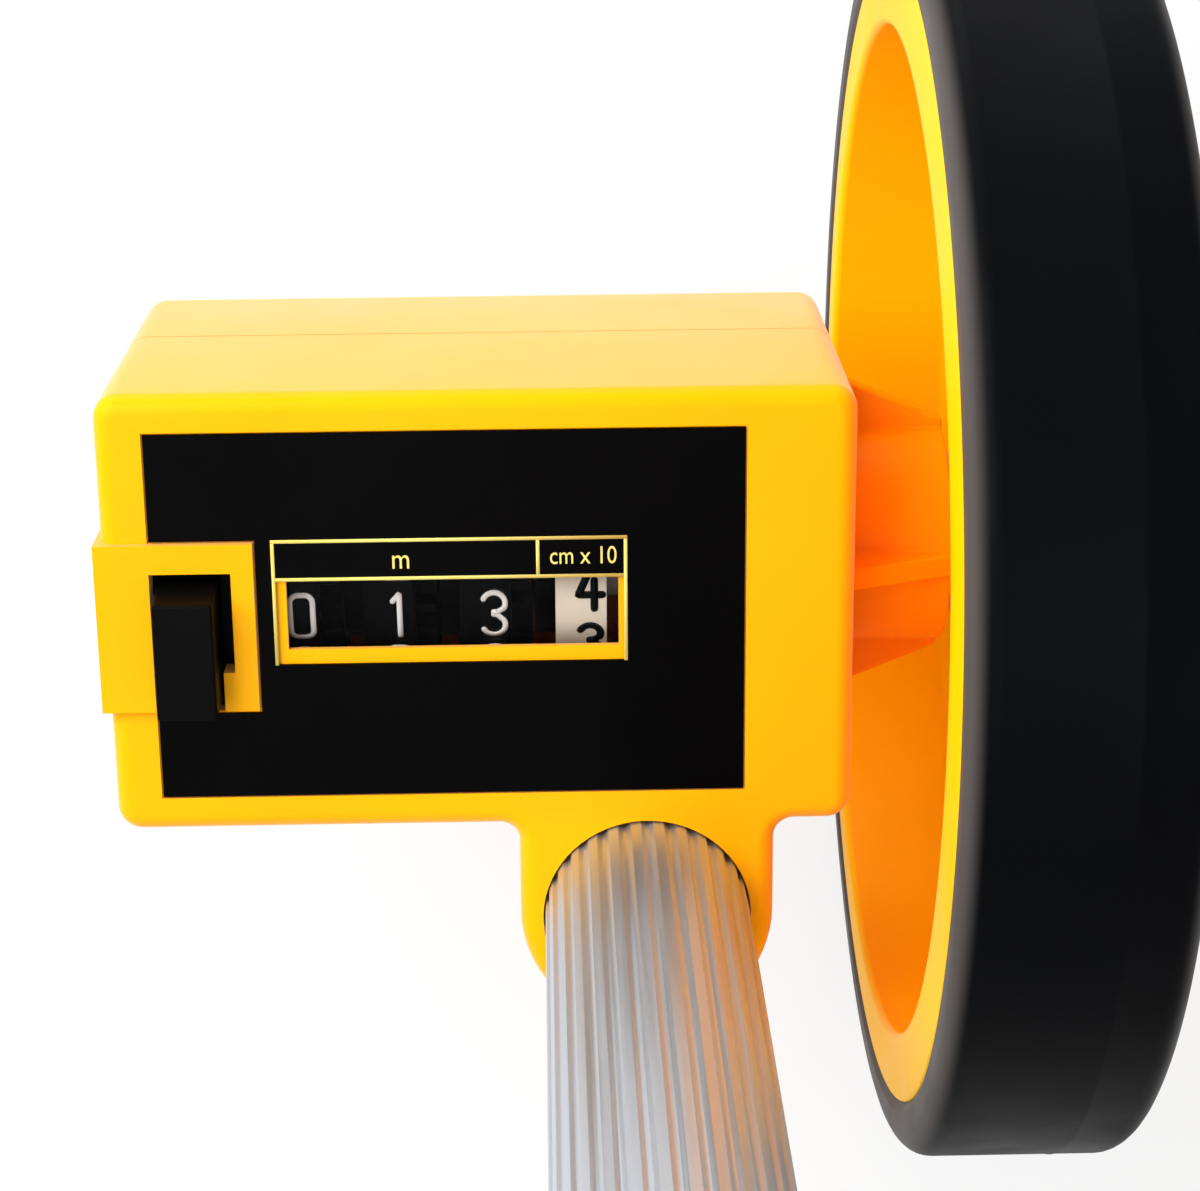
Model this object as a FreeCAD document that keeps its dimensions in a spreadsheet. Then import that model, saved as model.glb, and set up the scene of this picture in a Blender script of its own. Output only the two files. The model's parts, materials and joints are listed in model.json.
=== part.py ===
"""Hand-held distance-measuring wheel with a geared counter and a telescopic handle.

Every part is drawn in one of three frames:
  wheel frame    origin on the axle axis in the middle plane of the wheel, X along the axle;
  housing frame  the same origin, -Y out of the counter's face, Z up the face;
  handle frame   origin where the tube's axis crosses the face, X out along the tube.
The housing and handle frames are tilted back together, so the handle rises to the hand
while the wheel stands on the ground at the row's origin.
"""
import FreeCAD
import Part
import Sketcher
import os
import re

Vector = FreeCAD.Vector
Rotation = FreeCAD.Rotation
Placement = FreeCAD.Placement

# ---------------------------------------------------------------- driving dimensions (mm)
SIZES = {
    # posture
    "handle_tilt": 55,           # degrees that the handle rises above the ground
    # wheel
    "wheel_dia": 159,            # rolls half a metre in one turn
    "tyre_width": 26.8,
    "tyre_thick": 11.5,          # from the tread down to the rim's channel
    "tyre_bevel": 0.6,           # slope between the rim ring and the tyre's side
    "tyre_bevel_rise": 1.2,
    "shoulder_round": 3.4,
    "ring_proud": 0.2,           # how far the rim's ring stands proud of the tyre's side
    "ring_slope": 0.4,           # how far the ring falls back towards the tyre
    "flange_height": 4.8,        # either side of the channel that holds the tyre
    "flange_thick": 2.5,
    "rim_wall": 3.8,
    "rim_lip_round": 0.9,
    "web_thick": 3,
    "web_recess": 6.6,           # from the rim's right ring back to the web
    "web_rib_thick": 2.4,
    "web_rib_height": 2,
    "web_rib_inset": 1,          # from the hub cap to the start of a rib
    "web_ribs": 6,
    "hub_dia": 23,
    "hub_length": 11,
    # axle and its fastening
    "axle_dia": 8,
    "stub_dia": 4,
    "thread_dia": 6,
    "collar_dia": 14,
    "collar_thick": 0.9,
    "running_gap": 0.04,         # radial, every shaft that turns in a bore
    "end_float": 0.1,            # along a shaft
    "nut_flats": 10,
    "nut_thick": 3.2,
    "nut_washer_dia": 13,
    "nut_washer_thick": 1.2,
    "thread_proud": 0.2,
    "cap_dia": 23,
    "cap_wall": 1,
    "cap_round": 2,
    "cap_short": 0.2,            # how far the cap ends inside the tyre's side
    "circlip_dia": 12,
    "circlip_thick": 0.9,
    "circlip_groove": 0.5,
    "circlip_gap": 3,
    # axle carrier with its ribbed boss
    "boss_dia": 28,
    "boss_length": 13.6,
    "carrier_flange_gap": 0.2,   # from the trapped flange to the cover's back
    "carrier_flange_lip": 1.5,   # how far the flange reaches past the opening's disc
    "carrier_flange_thick": 3,
    "seat_gap": 0.15,            # round a part that is trapped in an opening
    "boss_ribs": 4,
    "boss_rib_thick": 2.8,
    "boss_rib_inset": 0.7,       # from the disc's edge to a rib's foot
    "boss_rib_rise": 1.2,        # height of a rib at the boss's outer end
    "bush_dia": 11,
    "bush_length": 6,
    "bush_flange_dia": 14,
    "bush_flange_thick": 1,
    # housing
    "housing_width": 90,
    "housing_height": 55,
    "housing_depth": 53.6,
    "housing_wall": 2.4,
    "wheel_gap": 6,              # from the rim's ring to the housing
    "axle_to_face": 28,
    "axle_to_top": 26.3,
    "parting_behind_axle": 2.5,
    "corner_round": 3,
    "edge_round": 2.2,
    "post_dia": 8.4,
    "post_inset_side": 5.6,
    "post_inset_wheel": 10.4,
    "post_inset_top": 5.7,
    "screw_dia": 2.9,
    "screw_length": 34,
    "screw_head_dia": 5.6,
    "screw_head_thick": 2,
    "screw_sink": 2.4,
    "screw_gap": 0.1,
    "thread_gap": 0.02,          # radial, a screw in the bore that it threads
    "bite": 0.5,                 # how far a feature runs into the one that it joins
    "cut_past": 1,               # how far a cut runs past the face that it opens
    # label and window
    "label_inset_left": 5.9,
    "label_inset_right": 13.3,
    "label_drop": 4.6,           # from the top of the housing
    "label_rise": 4.7,           # from its bottom
    "label_thick": 0.5,
    "label_recess": 0.4,
    "label_gap": 0.2,
    "window_inset_left": 20.5,   # the label's cut-out, from the housing's sides
    "window_inset_right": 27.55,
    "window_height": 10.8,
    "window_to_top": 22.6,
    "window_lip_left": 1.4,      # housing seen inside the label's cut-out
    "window_lip_right": 0.85,
    "window_lip_bottom": 1.8,
    "window_lip_top": 0.1,
    "lens_thick": 1.2,
    "lens_margin": 1.5,
    # reset button and its raised frame
    "bezel_rise": 0.9,
    "bezel_wrap": 0.7,
    "bezel_wrap_depth": 12,
    "bezel_reach": 18.2,         # from the housing's left wall
    "bezel_top": 8.4,
    "bezel_bottom": -12.65,
    "slot_inset": 5.8,
    "slot_width": 9.7,
    "slot_top": 4.8,
    "slot_bottom": -13,
    "slot_tab_width": 1.4,
    "slot_tab_top": -7.7,
    "button_inset": 6.55,
    "button_width": 7.15,
    "button_proud": 6,
    "button_top": 3.3,
    "button_top_fall": 0.8,
    "button_bottom": -11.9,
    "button_stem": 5.5,          # reach behind the face
    "button_flange_thick": 1.6,
    "button_flange_margin": 1.8,
    "button_flange_side": 1,
    "button_seat_gap": 0.3,
    # counter
    "counter_ahead": 12,         # from the axle to the counter shaft
    "counter_shaft_dia": 4,
    "shaft_proud": 1,
    "drum_dia": 25,
    "drum_wall": 1.5,
    "drum_count": 4,
    "digit_inset_left": 2.81,    # from the window's sides to the middles of the end digits
    "digit_inset_right": 4.25,
    "drum_band_left": 4.15,      # from a digit's middle to the left edge of its band
    "drum_gap": 0.23,
    "drum_web": 1.6,
    "drum_hub_dia": 8,
    "drum_side": 2.6,            # gear ring or locking ring beside a band
    "lock_ring_dia": 17,
    "carry_notch": 2,
    "carry_notch_depth": 1.5,
    "transfer_module": 1,
    "drum_teeth": 20,
    "pinion_teeth": 8,
    "pinion_shaft_dia": 2.5,
    "pinion_side_gap": 0.2,
    "drive_module": 0.5,
    "axle_teeth": 16,
    "drive_teeth": 32,
    "drive_face": 4,
    "drive_hub_proud": 1.5,
    "axle_pinion_face": 6,
    "tooth_backlash": 0.17,      # share of a tooth pitch left free
    "tooth_slope": 0.364,        # sideways per height, on the flank of a tooth
    "tooth_tips": 1.8,           # a gear's tip circle is that of this many more teeth
    "tooth_root": 1.2,           # depth of a tooth space below the pitch circle, in modules
    "tooth_clear": 1.3,          # and the height that its cut starts from
    "drive_from_carrier": 8,     # from the carrier's flange to the drive gear
    "stub_length": 8,
    "stub_past_gear": 2,
    "pinion_from_end": 0.5,
    "frame_thick": 1.4,
    "frame_back": 6,             # inner face of the frame's back, behind the axle
    "frame_front": 11,           # the side plates reach this far ahead of the shaft
    "frame_gap_left": 0.55,
    "frame_gap_right": 0.35,
    "frame_low": 14,
    "frame_high": 18.5,
    "frame_ear_width": 9,
    "frame_ear_past": 3,         # from a screw's middle to the end of its ear
    "frame_post_dia": 5.6,
    "frame_post_inset": 15.29,   # from the frame's left plate
    "frame_post_rise": 6.5,      # from the housing's inner floor
    "frame_post_drop": 3.3,      # and from its inner top
    "frame_screw_dia": 2.4,
    "frame_screw_length": 8,
    "frame_screw_head_dia": 4.6,
    "frame_screw_head_thick": 1.5,
    "reset_bar_dia": 2.4,
    "reset_bar_ahead": 8.5,
    "reset_bar_over_drum": 4,
    "reset_bar_proud": 0.6,
    "finger_thick": 1.6,
    "finger_width": 2,
    "finger_reach": 4.4,
    "finger_rest_angle": 18,
    "crank_thick": 1.5,
    "crank_half": 1.7,
    "crank_reach": 15.5,
    "crank_at": 10.1,            # from the housing's left wall
    "spring_wire": 0.5,
    "spring_turns": 5,
    "spring_pitch": 0.75,
    "spring_clear": 0.15,
    # socket and handle
    "tube_dia": 25.4,
    "tube_wall": 1.5,
    "tube_from_right": 25.1,     # from the housing's right side to the tube's axis
    "tube_into_floor": 0.52,     # how far the socket's bore runs up into the housing's floor
    "tube_reach": 393,           # from the face to the tube's open end
    "tube_in_socket": 27,
    "flutes": 28,
    "flute_round": 0.8,
    "flute_depth": 0.45,
    "socket_wall": 2.8,
    "socket_gap": 0.22,
    "socket_depth": 28,
    "socket_round": 2.5,
    "socket_cap": 11.5,
    "tube_screw_in": 14,
    "tube_screw_dia": 3,
    "tube_screw_head_dia": 6,
    "tube_screw_head_thick": 1.4,
    "tube_screw_sink": 0.1,
    "tube_screw_reach": 1.5,     # past the tube's bore
    "inner_tube_gap": 0.6,       # between the two tubes, all round
    "inner_tube_wall": 1.2,
    "inner_tube_start": 24,      # from the face, when pushed in
    "plug_length": 12,
    "plug_flange": 3,
    "plug_gap": 0.08,
    "collar_over_tube": 18,
    "collar_beyond_tube": 13,
    "collar_wall": 3.8,
    "collar_chamfer": 1,
    "collar_bore_gap": 0.15,
    "tube_end_gap": 0.2,
    "clamp_ear_root": 2,         # from the tube's surface
    "clamp_ear_reach": 7.5,      # from the collar's surface
    "clamp_ear_half": 3.2,
    "clamp_ear_thick": 4,
    "clamp_ear_inset": 1.5,
    "clamp_pin_rise": 3.7,       # from the collar's surface
    "clamp_pin_dia": 3,
    "clamp_lever_thick": 2.6,
    "clamp_lever_gap": 0.5,
    "clamp_lever_sweep": 118,
    "clamp_lever_steps": 12,
    "clamp_lever_lip": 1.6,
    "clamp_lever_eye": 6.4,
    "clamp_side_gap": 0.3,
    "grip_gap": 4,               # from the collar to the grip when pushed in
    "grip_wall": 5.4,
    "grip_length": 118,
    "grip_flange_rise": 3,
    "grip_flange_length": 7,
    "grip_flange_chamfer": 2,
    "grip_flange_slope": 2.5,
    "grip_bore_gap": 0.05,
    "end_plug_step": 0.5,        # from the grip's surface in to the plug's
    "end_plug_thick": 6,
    "end_plug_ease": 4,
    "end_plug_spigot": 14,
    "end_plug_seat": 4,
}

# places and sizes that follow from the driving dimensions
DERIVED = {
    "wheel_r": "wheel_dia/2",
    "tyre_half": "tyre_width/2",
    "rim_half": "tyre_half + ring_proud",
    "ring_edge": "rim_half - ring_slope",
    "seat_r": "wheel_r - tyre_thick",
    "flange_r": "seat_r + flange_height",
    "rim_inner_r": "seat_r - rim_wall",
    "channel_half": "rim_half - flange_thick",
    "web_right": "rim_half - web_recess",
    "web_left": "web_right - web_thick",
    "hub_left": "web_right - hub_length",
    "axle_r": "axle_dia/2",
    "stub_r": "stub_dia/2",
    "collar_left": "hub_left - collar_thick",
    "nut_left": "web_right + nut_washer_thick",
    "nut_right": "nut_left + nut_thick",
    "wall_right": "-(rim_half + wheel_gap)",
    "wall_left": "wall_right - housing_width",
    "in_right": "wall_right - housing_wall",
    "in_left": "wall_left + housing_wall",
    "face_y": "-axle_to_face",
    "face_in": "face_y + housing_wall",
    "back_y": "face_y + housing_depth",
    "back_in": "back_y - housing_wall",
    "parting_y": "parting_behind_axle",
    "top_z": "axle_to_top",
    "top_in": "top_z - housing_wall",
    "bottom_z": "top_z - housing_height",
    "bottom_in": "bottom_z + housing_wall",
    "post_left": "wall_left + post_inset_side",
    "post_right": "wall_right - post_inset_wheel",
    "post_high": "top_z - post_inset_top",
    "post_low": "bottom_z + post_inset_top",
    "boss_end": "wall_right + boss_length",
    "boss_r": "boss_dia/2",
    "flange_in": "in_right - carrier_flange_thick",
    "carrier_flange_r": "back_in - carrier_flange_gap",
    "carrier_disc_r": "carrier_flange_r - carrier_flange_lip",
    "bush_r": "bush_dia/2",
    "label_left": "wall_left + label_inset_left",
    "label_right": "wall_right - label_inset_right",
    "label_top": "top_z - label_drop",
    "label_bottom": "bottom_z + label_rise",
    "window_left": "wall_left + window_inset_left",
    "window_right": "wall_right - window_inset_right",
    "window_top": "top_z - window_to_top",
    "window_bottom": "window_top - window_height",
    "open_left": "window_left + window_lip_left",
    "open_right": "window_right - window_lip_right",
    "open_top": "window_top - window_lip_top",
    "open_bottom": "window_bottom + window_lip_bottom",
    "bezel_left": "wall_left - bezel_wrap",
    "bezel_right": "wall_left + bezel_reach",
    "bezel_front": "face_y - bezel_rise",
    "slot_left": "wall_left + slot_inset",
    "slot_right": "slot_left + slot_width",
    "slot_tab": "slot_right - slot_tab_width",
    "button_left": "wall_left + button_inset",
    "button_right": "button_left + button_width",
    "button_front": "face_y - button_proud",
    "button_back": "face_y + button_stem",
    "counter_y": "-counter_ahead",
    "counter_r": "counter_shaft_dia/2",
    "drum_r": "drum_dia/2",
    "drum_first": "window_right - digit_inset_right",
    "drum_last": "window_left + digit_inset_left",
    "drum_pitch": "(drum_first - drum_last)/(drum_count - 1)",
    "drum_band": "drum_pitch - 2*drum_side - drum_gap",
    "drum_band_right": "drum_band - drum_band_left",
    "transfer_gap": "transfer_module*(drum_teeth + pinion_teeth)/2",
    "drive_right": "flange_in - drive_from_carrier",
    "drive_left": "drive_right - drive_face",
    "drive_hub_right": "drive_right + drive_hub_proud",
    "stub_right": "drive_right + stub_past_gear",
    "stub_left": "stub_right - stub_length",
    "pinion_left": "stub_left + pinion_from_end",
    "pinion_right": "pinion_left + axle_pinion_face",
    "frame_right": "drum_first + drum_band_right + drum_side + frame_gap_right",
    "frame_left": "drum_last - drum_band_left - frame_gap_left",
    "frame_out_right": "frame_right + frame_thick",
    "frame_out_left": "frame_left - frame_thick",
    "frame_front_y": "counter_y - frame_front",
    "frame_post_x": "frame_left + frame_post_inset",
    "frame_post_low": "bottom_in + frame_post_rise",
    "frame_post_high": "top_in - frame_post_drop",
    "reset_y": "counter_y - reset_bar_ahead",
    "reset_z": "drum_r + reset_bar_over_drum",
    "crank_x": "wall_left + crank_at",
    "tube_r": "tube_dia/2",
    "tube_bore": "tube_r - tube_wall",
    "socket_bore": "tube_r + socket_gap",
    "socket_r": "socket_bore + socket_wall",
    "tube_x": "wall_right - tube_from_right",
    "tube_z": "bottom_z + tube_into_floor - socket_bore",
    "socket_low": "tube_z - socket_r",
    "inner_r": "tube_bore - inner_tube_gap",
    "inner_bore": "inner_r - inner_tube_wall",
    "collar_start": "tube_reach - collar_over_tube",
    "collar_end": "tube_reach + collar_beyond_tube",
    "clamp_collar_r": "tube_r + collar_wall",
    "clamp_pin_out": "clamp_collar_r + clamp_pin_rise",
    "lever_in": "clamp_collar_r + clamp_lever_gap",
    "grip_start": "collar_end + grip_gap",
    "grip_end": "grip_start + grip_length",
    "grip_r": "inner_r + grip_wall",
    "grip_flange_r": "grip_r + grip_flange_rise",
    "end_plug_r": "grip_r - end_plug_step",
    "inner_tube_end": "grip_end - end_plug_seat",
}

doc = FreeCAD.newDocument("measuring_wheel")
sheet = doc.addObject("Spreadsheet::Sheet", "Sizes")
for row, (alias, number) in enumerate(SIZES.items(), start=1):
    sheet.set(f"A{row}", alias)
    sheet.set(f"B{row}", str(number))
    sheet.setAlias(f"B{row}", alias)
doc.recompute()


def formula(text):
    """Spell a formula out in the sheet's own cells."""
    def spell(match):
        name = match.group(0)
        if name in DERIVED:
            return "(" + formula(DERIVED[name]) + ")"
        if name in SIZES:
            return "Sizes." + name
        return name
    return re.sub(r"[a-z][a-z_]*", spell, str(text))


def value(text):
    """The number that a formula gives now."""
    return float(sheet.evalExpression(formula(text)))


def bind(thing, setting, text):
    thing.setExpression(setting, formula(text))


# ---------------------------------------------------------------- frames
AXLE_HEIGHT = Placement(Vector(0, 0, value("wheel_r")), Rotation())
TILT = Placement(Vector(), Rotation(Vector(1, 0, 0), -value("handle_tilt")))
HOUSING = AXLE_HEIGHT.multiply(TILT)


def housing_at(x="0", y="0", z="0"):
    """A place in the housing frame."""
    return HOUSING.multiply(Placement(Vector(value(x), value(y), value(z)), Rotation()))


HANDLE = housing_at("tube_x", "face_y", "tube_z").multiply(
    Placement(Vector(), Rotation(Vector(0, 0, 1), -90)))


# ---------------------------------------------------------------- drawing helpers
PLANES = {"x": ("YZ_Plane", 1), "y": ("XZ_Plane", -1), "z": ("XY_Plane", 1)}
parts = []


def new_body(label, place):
    body = doc.addObject("PartDesign::Body", label)
    body.Label = label
    body.Placement = place
    parts.append(body)
    return body


def draw(body, name, across, at, loops):
    """Sketch closed loops on the plane that crosses an axis at a place.

    A loop is a list of corner formulas, or ("circle", u, v, radius).
    """
    plane_role, sign = PLANES[across]
    plane = [one for one in body.Origin.OriginFeatures if one.Role == plane_role][0]
    sketch = body.newObject("Sketcher::SketchObject", f"{body.Name}_{name}_sketch")
    sketch.AttachmentSupport = [(plane, "")]
    sketch.MapMode = "FlatFace"
    bind(sketch, "AttachmentOffset.Base.z", f"{sign} * ({at})")
    for loop in loops:
        if loop[0] == "circle":
            add_circle(sketch, *loop[1:])
        else:
            add_polygon(sketch, loop)
    return sketch


def pin_point(sketch, edge, corner, u, v):
    """Tie one point of a sketch edge to a pair of formulas."""
    for axis, text in (("X", u), ("Y", v)):
        number = sketch.addConstraint(
            Sketcher.Constraint("Distance" + axis, -1, 1, edge, corner, value(text)))
        sketch.renameConstraint(number, f"p{axis}{edge}")
        bind(sketch, f"Constraints.p{axis}{edge}", text)


def add_circle(sketch, u, v, radius):
    centre = Vector(value(u), value(v), 0)
    edge = sketch.addGeometry(Part.Circle(centre, Vector(0, 0, 1), value(radius)), False)
    pin_point(sketch, edge, 3, u, v)
    number = sketch.addConstraint(Sketcher.Constraint("Radius", edge, value(radius)))
    sketch.renameConstraint(number, f"r{edge}")
    bind(sketch, f"Constraints.r{edge}", radius)


def add_polygon(sketch, corners):
    places = [Vector(value(u), value(v), 0) for u, v in corners]
    first = sketch.GeometryCount
    total = len(corners)
    for index in range(total):
        line = Part.LineSegment(places[index], places[(index + 1) % total])
        sketch.addGeometry(line, False)
    for index in range(total):
        following = first + (index + 1) % total
        sketch.addConstraint(Sketcher.Constraint("Coincident", first + index, 2, following, 1))
    for index, (u, v) in enumerate(corners):
        pin_point(sketch, first + index, 1, u, v)


def rectangle(u_low, u_high, v_low, v_high):
    return [(u_low, v_low), (u_high, v_low), (u_high, v_high), (u_low, v_high)]


def pad(body, name, across, low, high, loops):
    """Add material between two places along an axis."""
    start = high if across == "y" else low
    feature = body.newObject("PartDesign::Pad", f"{body.Name}_{name}")
    feature.Profile = draw(body, name, across, start, loops)
    bind(feature, "Length", f"({high}) - ({low})")
    doc.recompute()
    return feature


def pocket(body, name, across, low, high, loops):
    """Cut material away between two places along an axis."""
    before = body.Tip.Shape.Volume
    start = low if across == "y" else high
    sketch = draw(body, name, across, start, loops)
    feature = body.newObject("PartDesign::Pocket", f"{body.Name}_{name}")
    feature.Profile = sketch
    bind(feature, "Length", f"({high}) - ({low})")
    doc.recompute()
    if feature.Shape.Volume >= before:
        raise RuntimeError(f"{feature.Name} cuts nothing")
    return feature


def turn(body, name, loops):
    """Revolve (x, radius) loops about the body's X axis."""
    feature = body.newObject("PartDesign::Revolution", f"{body.Name}_{name}")
    sketch = draw(body, name, "y", "0", loops)
    feature.Profile = sketch
    feature.ReferenceAxis = (sketch, ["H_Axis"])
    feature.Angle = 360
    doc.recompute()
    return feature


def repeat_about_x(body, name, feature, count):
    """Repeat a feature evenly about the body's X axis."""
    pattern = body.newObject("PartDesign::PolarPattern", f"{body.Name}_{name}_pattern")
    pattern.Originals = [feature]
    axis = [one for one in body.Origin.OriginFeatures if one.Role == "X_Axis"][0]
    pattern.Axis = (axis, [""])
    pattern.Angle = 360
    bind(pattern, "Occurrences", count)
    body.Tip = pattern
    doc.recompute()
    return pattern


def round_edges(body, name, radius, wanted):
    """Fillet the edges that a test picks."""
    base = body.Tip
    edges = enumerate(base.Shape.Edges, start=1)
    names = [f"Edge{number}" for number, edge in edges if wanted(edge)]
    if not names:
        raise RuntimeError(f"{body.Name}_{name} finds no edge")
    feature = body.newObject("PartDesign::Fillet", f"{body.Name}_{name}")
    feature.Base = (base, names)
    bind(feature, "Radius", radius)
    doc.recompute()
    return feature


def near(number, text):
    return abs(number - value(text)) < 0.01


def lathe(label, place, profile):
    body = new_body(label, place)
    turn(body, "profile", [profile])
    return body


def ring(label, place, low, high, inner, outer):
    """A plain tube, bush or washer about X."""
    return lathe(label, place, rectangle(low, high, inner, outer))


def cut_teeth(body, name, low, high, module, teeth):
    """Cut evenly spaced straight-flanked tooth spaces into a round blank."""
    pitch_r = f"{module}*{teeth}/2"
    half_gap = f"pi*{module}*(1 + 2*tooth_backlash)/4"
    deep = f"{pitch_r} - tooth_root*{module}"
    tall = f"{pitch_r} + tooth_clear*{module}"
    narrow = f"({half_gap} - tooth_slope*tooth_root*{module})"
    wide = f"({half_gap} + tooth_slope*tooth_clear*{module})"
    space = [(f"-{narrow}", deep), (narrow, deep), (wide, tall), (f"-{wide}", tall)]
    feature = pocket(body, name, "x", low, high, [space])
    repeat_about_x(body, name, feature, teeth)


# ---------------------------------------------------------------- wheel
def make_wheel():
    rim = lathe("wheel_rim", AXLE_HEIGHT, [
        ("-rim_half", "rim_inner_r"), ("web_left", "rim_inner_r"), ("web_left", "hub_dia/2"),
        ("hub_left", "hub_dia/2"), ("hub_left", "axle_r"), ("web_right", "axle_r"),
        ("web_right", "rim_inner_r"), ("rim_half", "rim_inner_r"), ("ring_edge", "flange_r"),
        ("channel_half", "flange_r"), ("channel_half", "seat_r"), ("-channel_half", "seat_r"),
        ("-channel_half", "flange_r"), ("-ring_edge", "flange_r")])
    round_edges(rim, "lip", "rim_lip_round",
                lambda edge: edge.Curve.TypeId == "Part::GeomCircle"
                and near(abs(edge.Curve.Center.x), "rim_half"))
    rib = pad(rim, "web_rib", "x", "web_right - bite", "web_right + web_rib_height",
              [rectangle("-web_rib_thick/2", "web_rib_thick/2", "cap_dia/2 + web_rib_inset",
                         "rim_inner_r + bite")])
    repeat_about_x(rim, "web_rib", rib, "web_ribs")

    side = "tyre_half"
    bevel = "(tyre_half - tyre_bevel)"
    bevel_top = "flange_r + tyre_bevel_rise"
    tyre = lathe("tyre", AXLE_HEIGHT, [
        ("-channel_half", "seat_r"), ("channel_half", "seat_r"), ("channel_half", "flange_r"),
        (bevel, "flange_r"), (side, bevel_top), (side, "wheel_r"), (f"-{side}", "wheel_r"),
        (f"-{side}", bevel_top), (f"-{bevel}", "flange_r"), ("-channel_half", "flange_r")])
    round_edges(tyre, "shoulder", "shoulder_round",
                lambda edge: edge.Curve.TypeId == "Part::GeomCircle"
                and near(edge.Curve.Radius, "wheel_r"))

    groove_right = "flange_in - bush_flange_thick - end_float"
    groove_left = f"{groove_right} - circlip_thick"
    lathe("wheel_axle", AXLE_HEIGHT, [
        ("stub_left", "0"), ("stub_left", "stub_r"), ("stub_right", "stub_r"),
        ("stub_right", "axle_r"), (groove_left, "axle_r"),
        (groove_left, "axle_r - circlip_groove"), (groove_right, "axle_r - circlip_groove"),
        (groove_right, "axle_r"), ("collar_left", "axle_r"), ("collar_left", "collar_dia/2"),
        ("hub_left", "collar_dia/2"), ("hub_left", "axle_r"), ("web_right", "axle_r"),
        ("web_right", "thread_dia/2"), ("nut_right + thread_proud", "thread_dia/2"),
        ("nut_right + thread_proud", "0")])

    clip = ring("axle_circlip", AXLE_HEIGHT, groove_left, groove_right,
                "axle_r - circlip_groove", "circlip_dia/2")
    pocket(clip, "gap", "x", f"{groove_left} - cut_past", f"{groove_right} + cut_past",
           [rectangle("-circlip_gap/2", "circlip_gap/2", "0", "circlip_dia")])

    pinion = ring("axle_pinion", AXLE_HEIGHT, "pinion_left", "pinion_right", "stub_r",
                  "drive_module*(axle_teeth + tooth_tips)/2")
    cut_teeth(pinion, "teeth", "pinion_left - cut_past", "pinion_right + cut_past",
              "drive_module", "axle_teeth")
    # half a tooth round, so that its teeth stand in the drive gear's spaces
    half_tooth = Placement(Vector(), Rotation(Vector(1, 0, 0), 180 / value("axle_teeth")))
    pinion.Placement = HOUSING.multiply(half_tooth)

    ring("hub_washer", AXLE_HEIGHT, "web_right", "nut_left", "thread_dia/2", "nut_washer_dia/2")
    half = "nut_flats/2"
    point = "nut_flats/2/cos(30 deg)"
    nut = new_body("hub_nut", AXLE_HEIGHT)
    hexagon = [(point, "0"), (f"{point}/2", half), (f"-{point}/2", half), (f"-{point}", "0"),
               (f"-{point}/2", f"-{half}"), (f"{point}/2", f"-{half}")]
    pad(nut, "hexagon", "x", "nut_left", "nut_right",
        [hexagon, ("circle", "0", "0", "thread_dia/2")])

    cap_out = "cap_dia/2"
    cap_in = "cap_dia/2 - cap_wall"
    cap_end = "tyre_half - cap_short"
    lathe("hub_cap", AXLE_HEIGHT, [
        ("web_right", cap_in), ("web_right", cap_out), (f"{cap_end} - cap_round", cap_out),
        (f"{cap_end} - cap_round/3", f"{cap_out} - cap_round/2"),
        (cap_end, f"{cap_out} - 3*cap_round/2"), (cap_end, "0"), (f"{cap_end} - cap_wall", "0"),
        (f"{cap_end} - cap_wall", f"{cap_in} - cap_round"),
        (f"{cap_end} - cap_wall - 2*cap_round/3", cap_in)])


# ---------------------------------------------------------------- axle carrier and bushes
def make_carrier():
    bore = "bush_r"
    carrier = lathe("axle_carrier", HOUSING, [
        ("flange_in", bore), ("flange_in", "carrier_flange_r"), ("in_right", "carrier_flange_r"),
        ("in_right", "carrier_disc_r"), ("wall_right", "carrier_disc_r"), ("wall_right", "boss_r"),
        ("boss_end", "boss_r"), ("boss_end", bore)])
    foot = "carrier_disc_r - boss_rib_inset"
    rib = carrier.newObject("PartDesign::Pad", "axle_carrier_rib")
    rib.Profile = draw(carrier, "rib", "y", "0", [[
        ("wall_right - bite", "boss_r - bite"), ("boss_end", "boss_r - bite"),
        ("boss_end", "boss_r + boss_rib_rise"), ("wall_right", foot),
        ("wall_right - bite", foot)]])
    rib.Midplane = True
    bind(rib, "Length", "boss_rib_thick")
    doc.recompute()
    repeat_about_x(carrier, "rib", rib, "boss_ribs")

    inner_face = "flange_in - bush_flange_thick"
    bore = "axle_r + running_gap"
    lathe("inner_bush", HOUSING, [
        (inner_face, bore), (inner_face, "bush_flange_dia/2"), ("flange_in", "bush_flange_dia/2"),
        ("flange_in", "bush_r"), ("flange_in + bush_length", "bush_r"),
        ("flange_in + bush_length", bore)])
    outer_face = "boss_end + bush_flange_thick"
    lathe("outer_bush", HOUSING, [
        ("boss_end - bush_length", bore), ("boss_end - bush_length", "bush_r"),
        ("boss_end", "bush_r"), ("boss_end", "bush_flange_dia/2"),
        (outer_face, "bush_flange_dia/2"), (outer_face, bore)])


# ---------------------------------------------------------------- housing
HOUSING_SCREWS = [(x, z) for x in ("post_left", "post_right") for z in ("post_low", "post_high")]
FRAME_SCREWS = ["frame_post_high", "frame_post_low"]


def along_y(edge):
    if edge.Curve.TypeId != "Part::GeomLine":
        return False
    first, last = edge.Vertexes[0].Point, edge.Vertexes[-1].Point
    return abs(first.y - last.y) > 1 and abs(first.x - last.x) + abs(first.z - last.z) < 0.01


def flat_at(edge, text):
    return all(near(vertex.Point.y, text) for vertex in edge.Vertexes)


def socket_corner(edge):
    point = edge.Vertexes[0].Point
    beside = abs(abs(point.x - value("tube_x")) - value("socket_r")) < 0.01
    return along_y(edge) and beside and near(point.z, "bottom_z")


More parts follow.
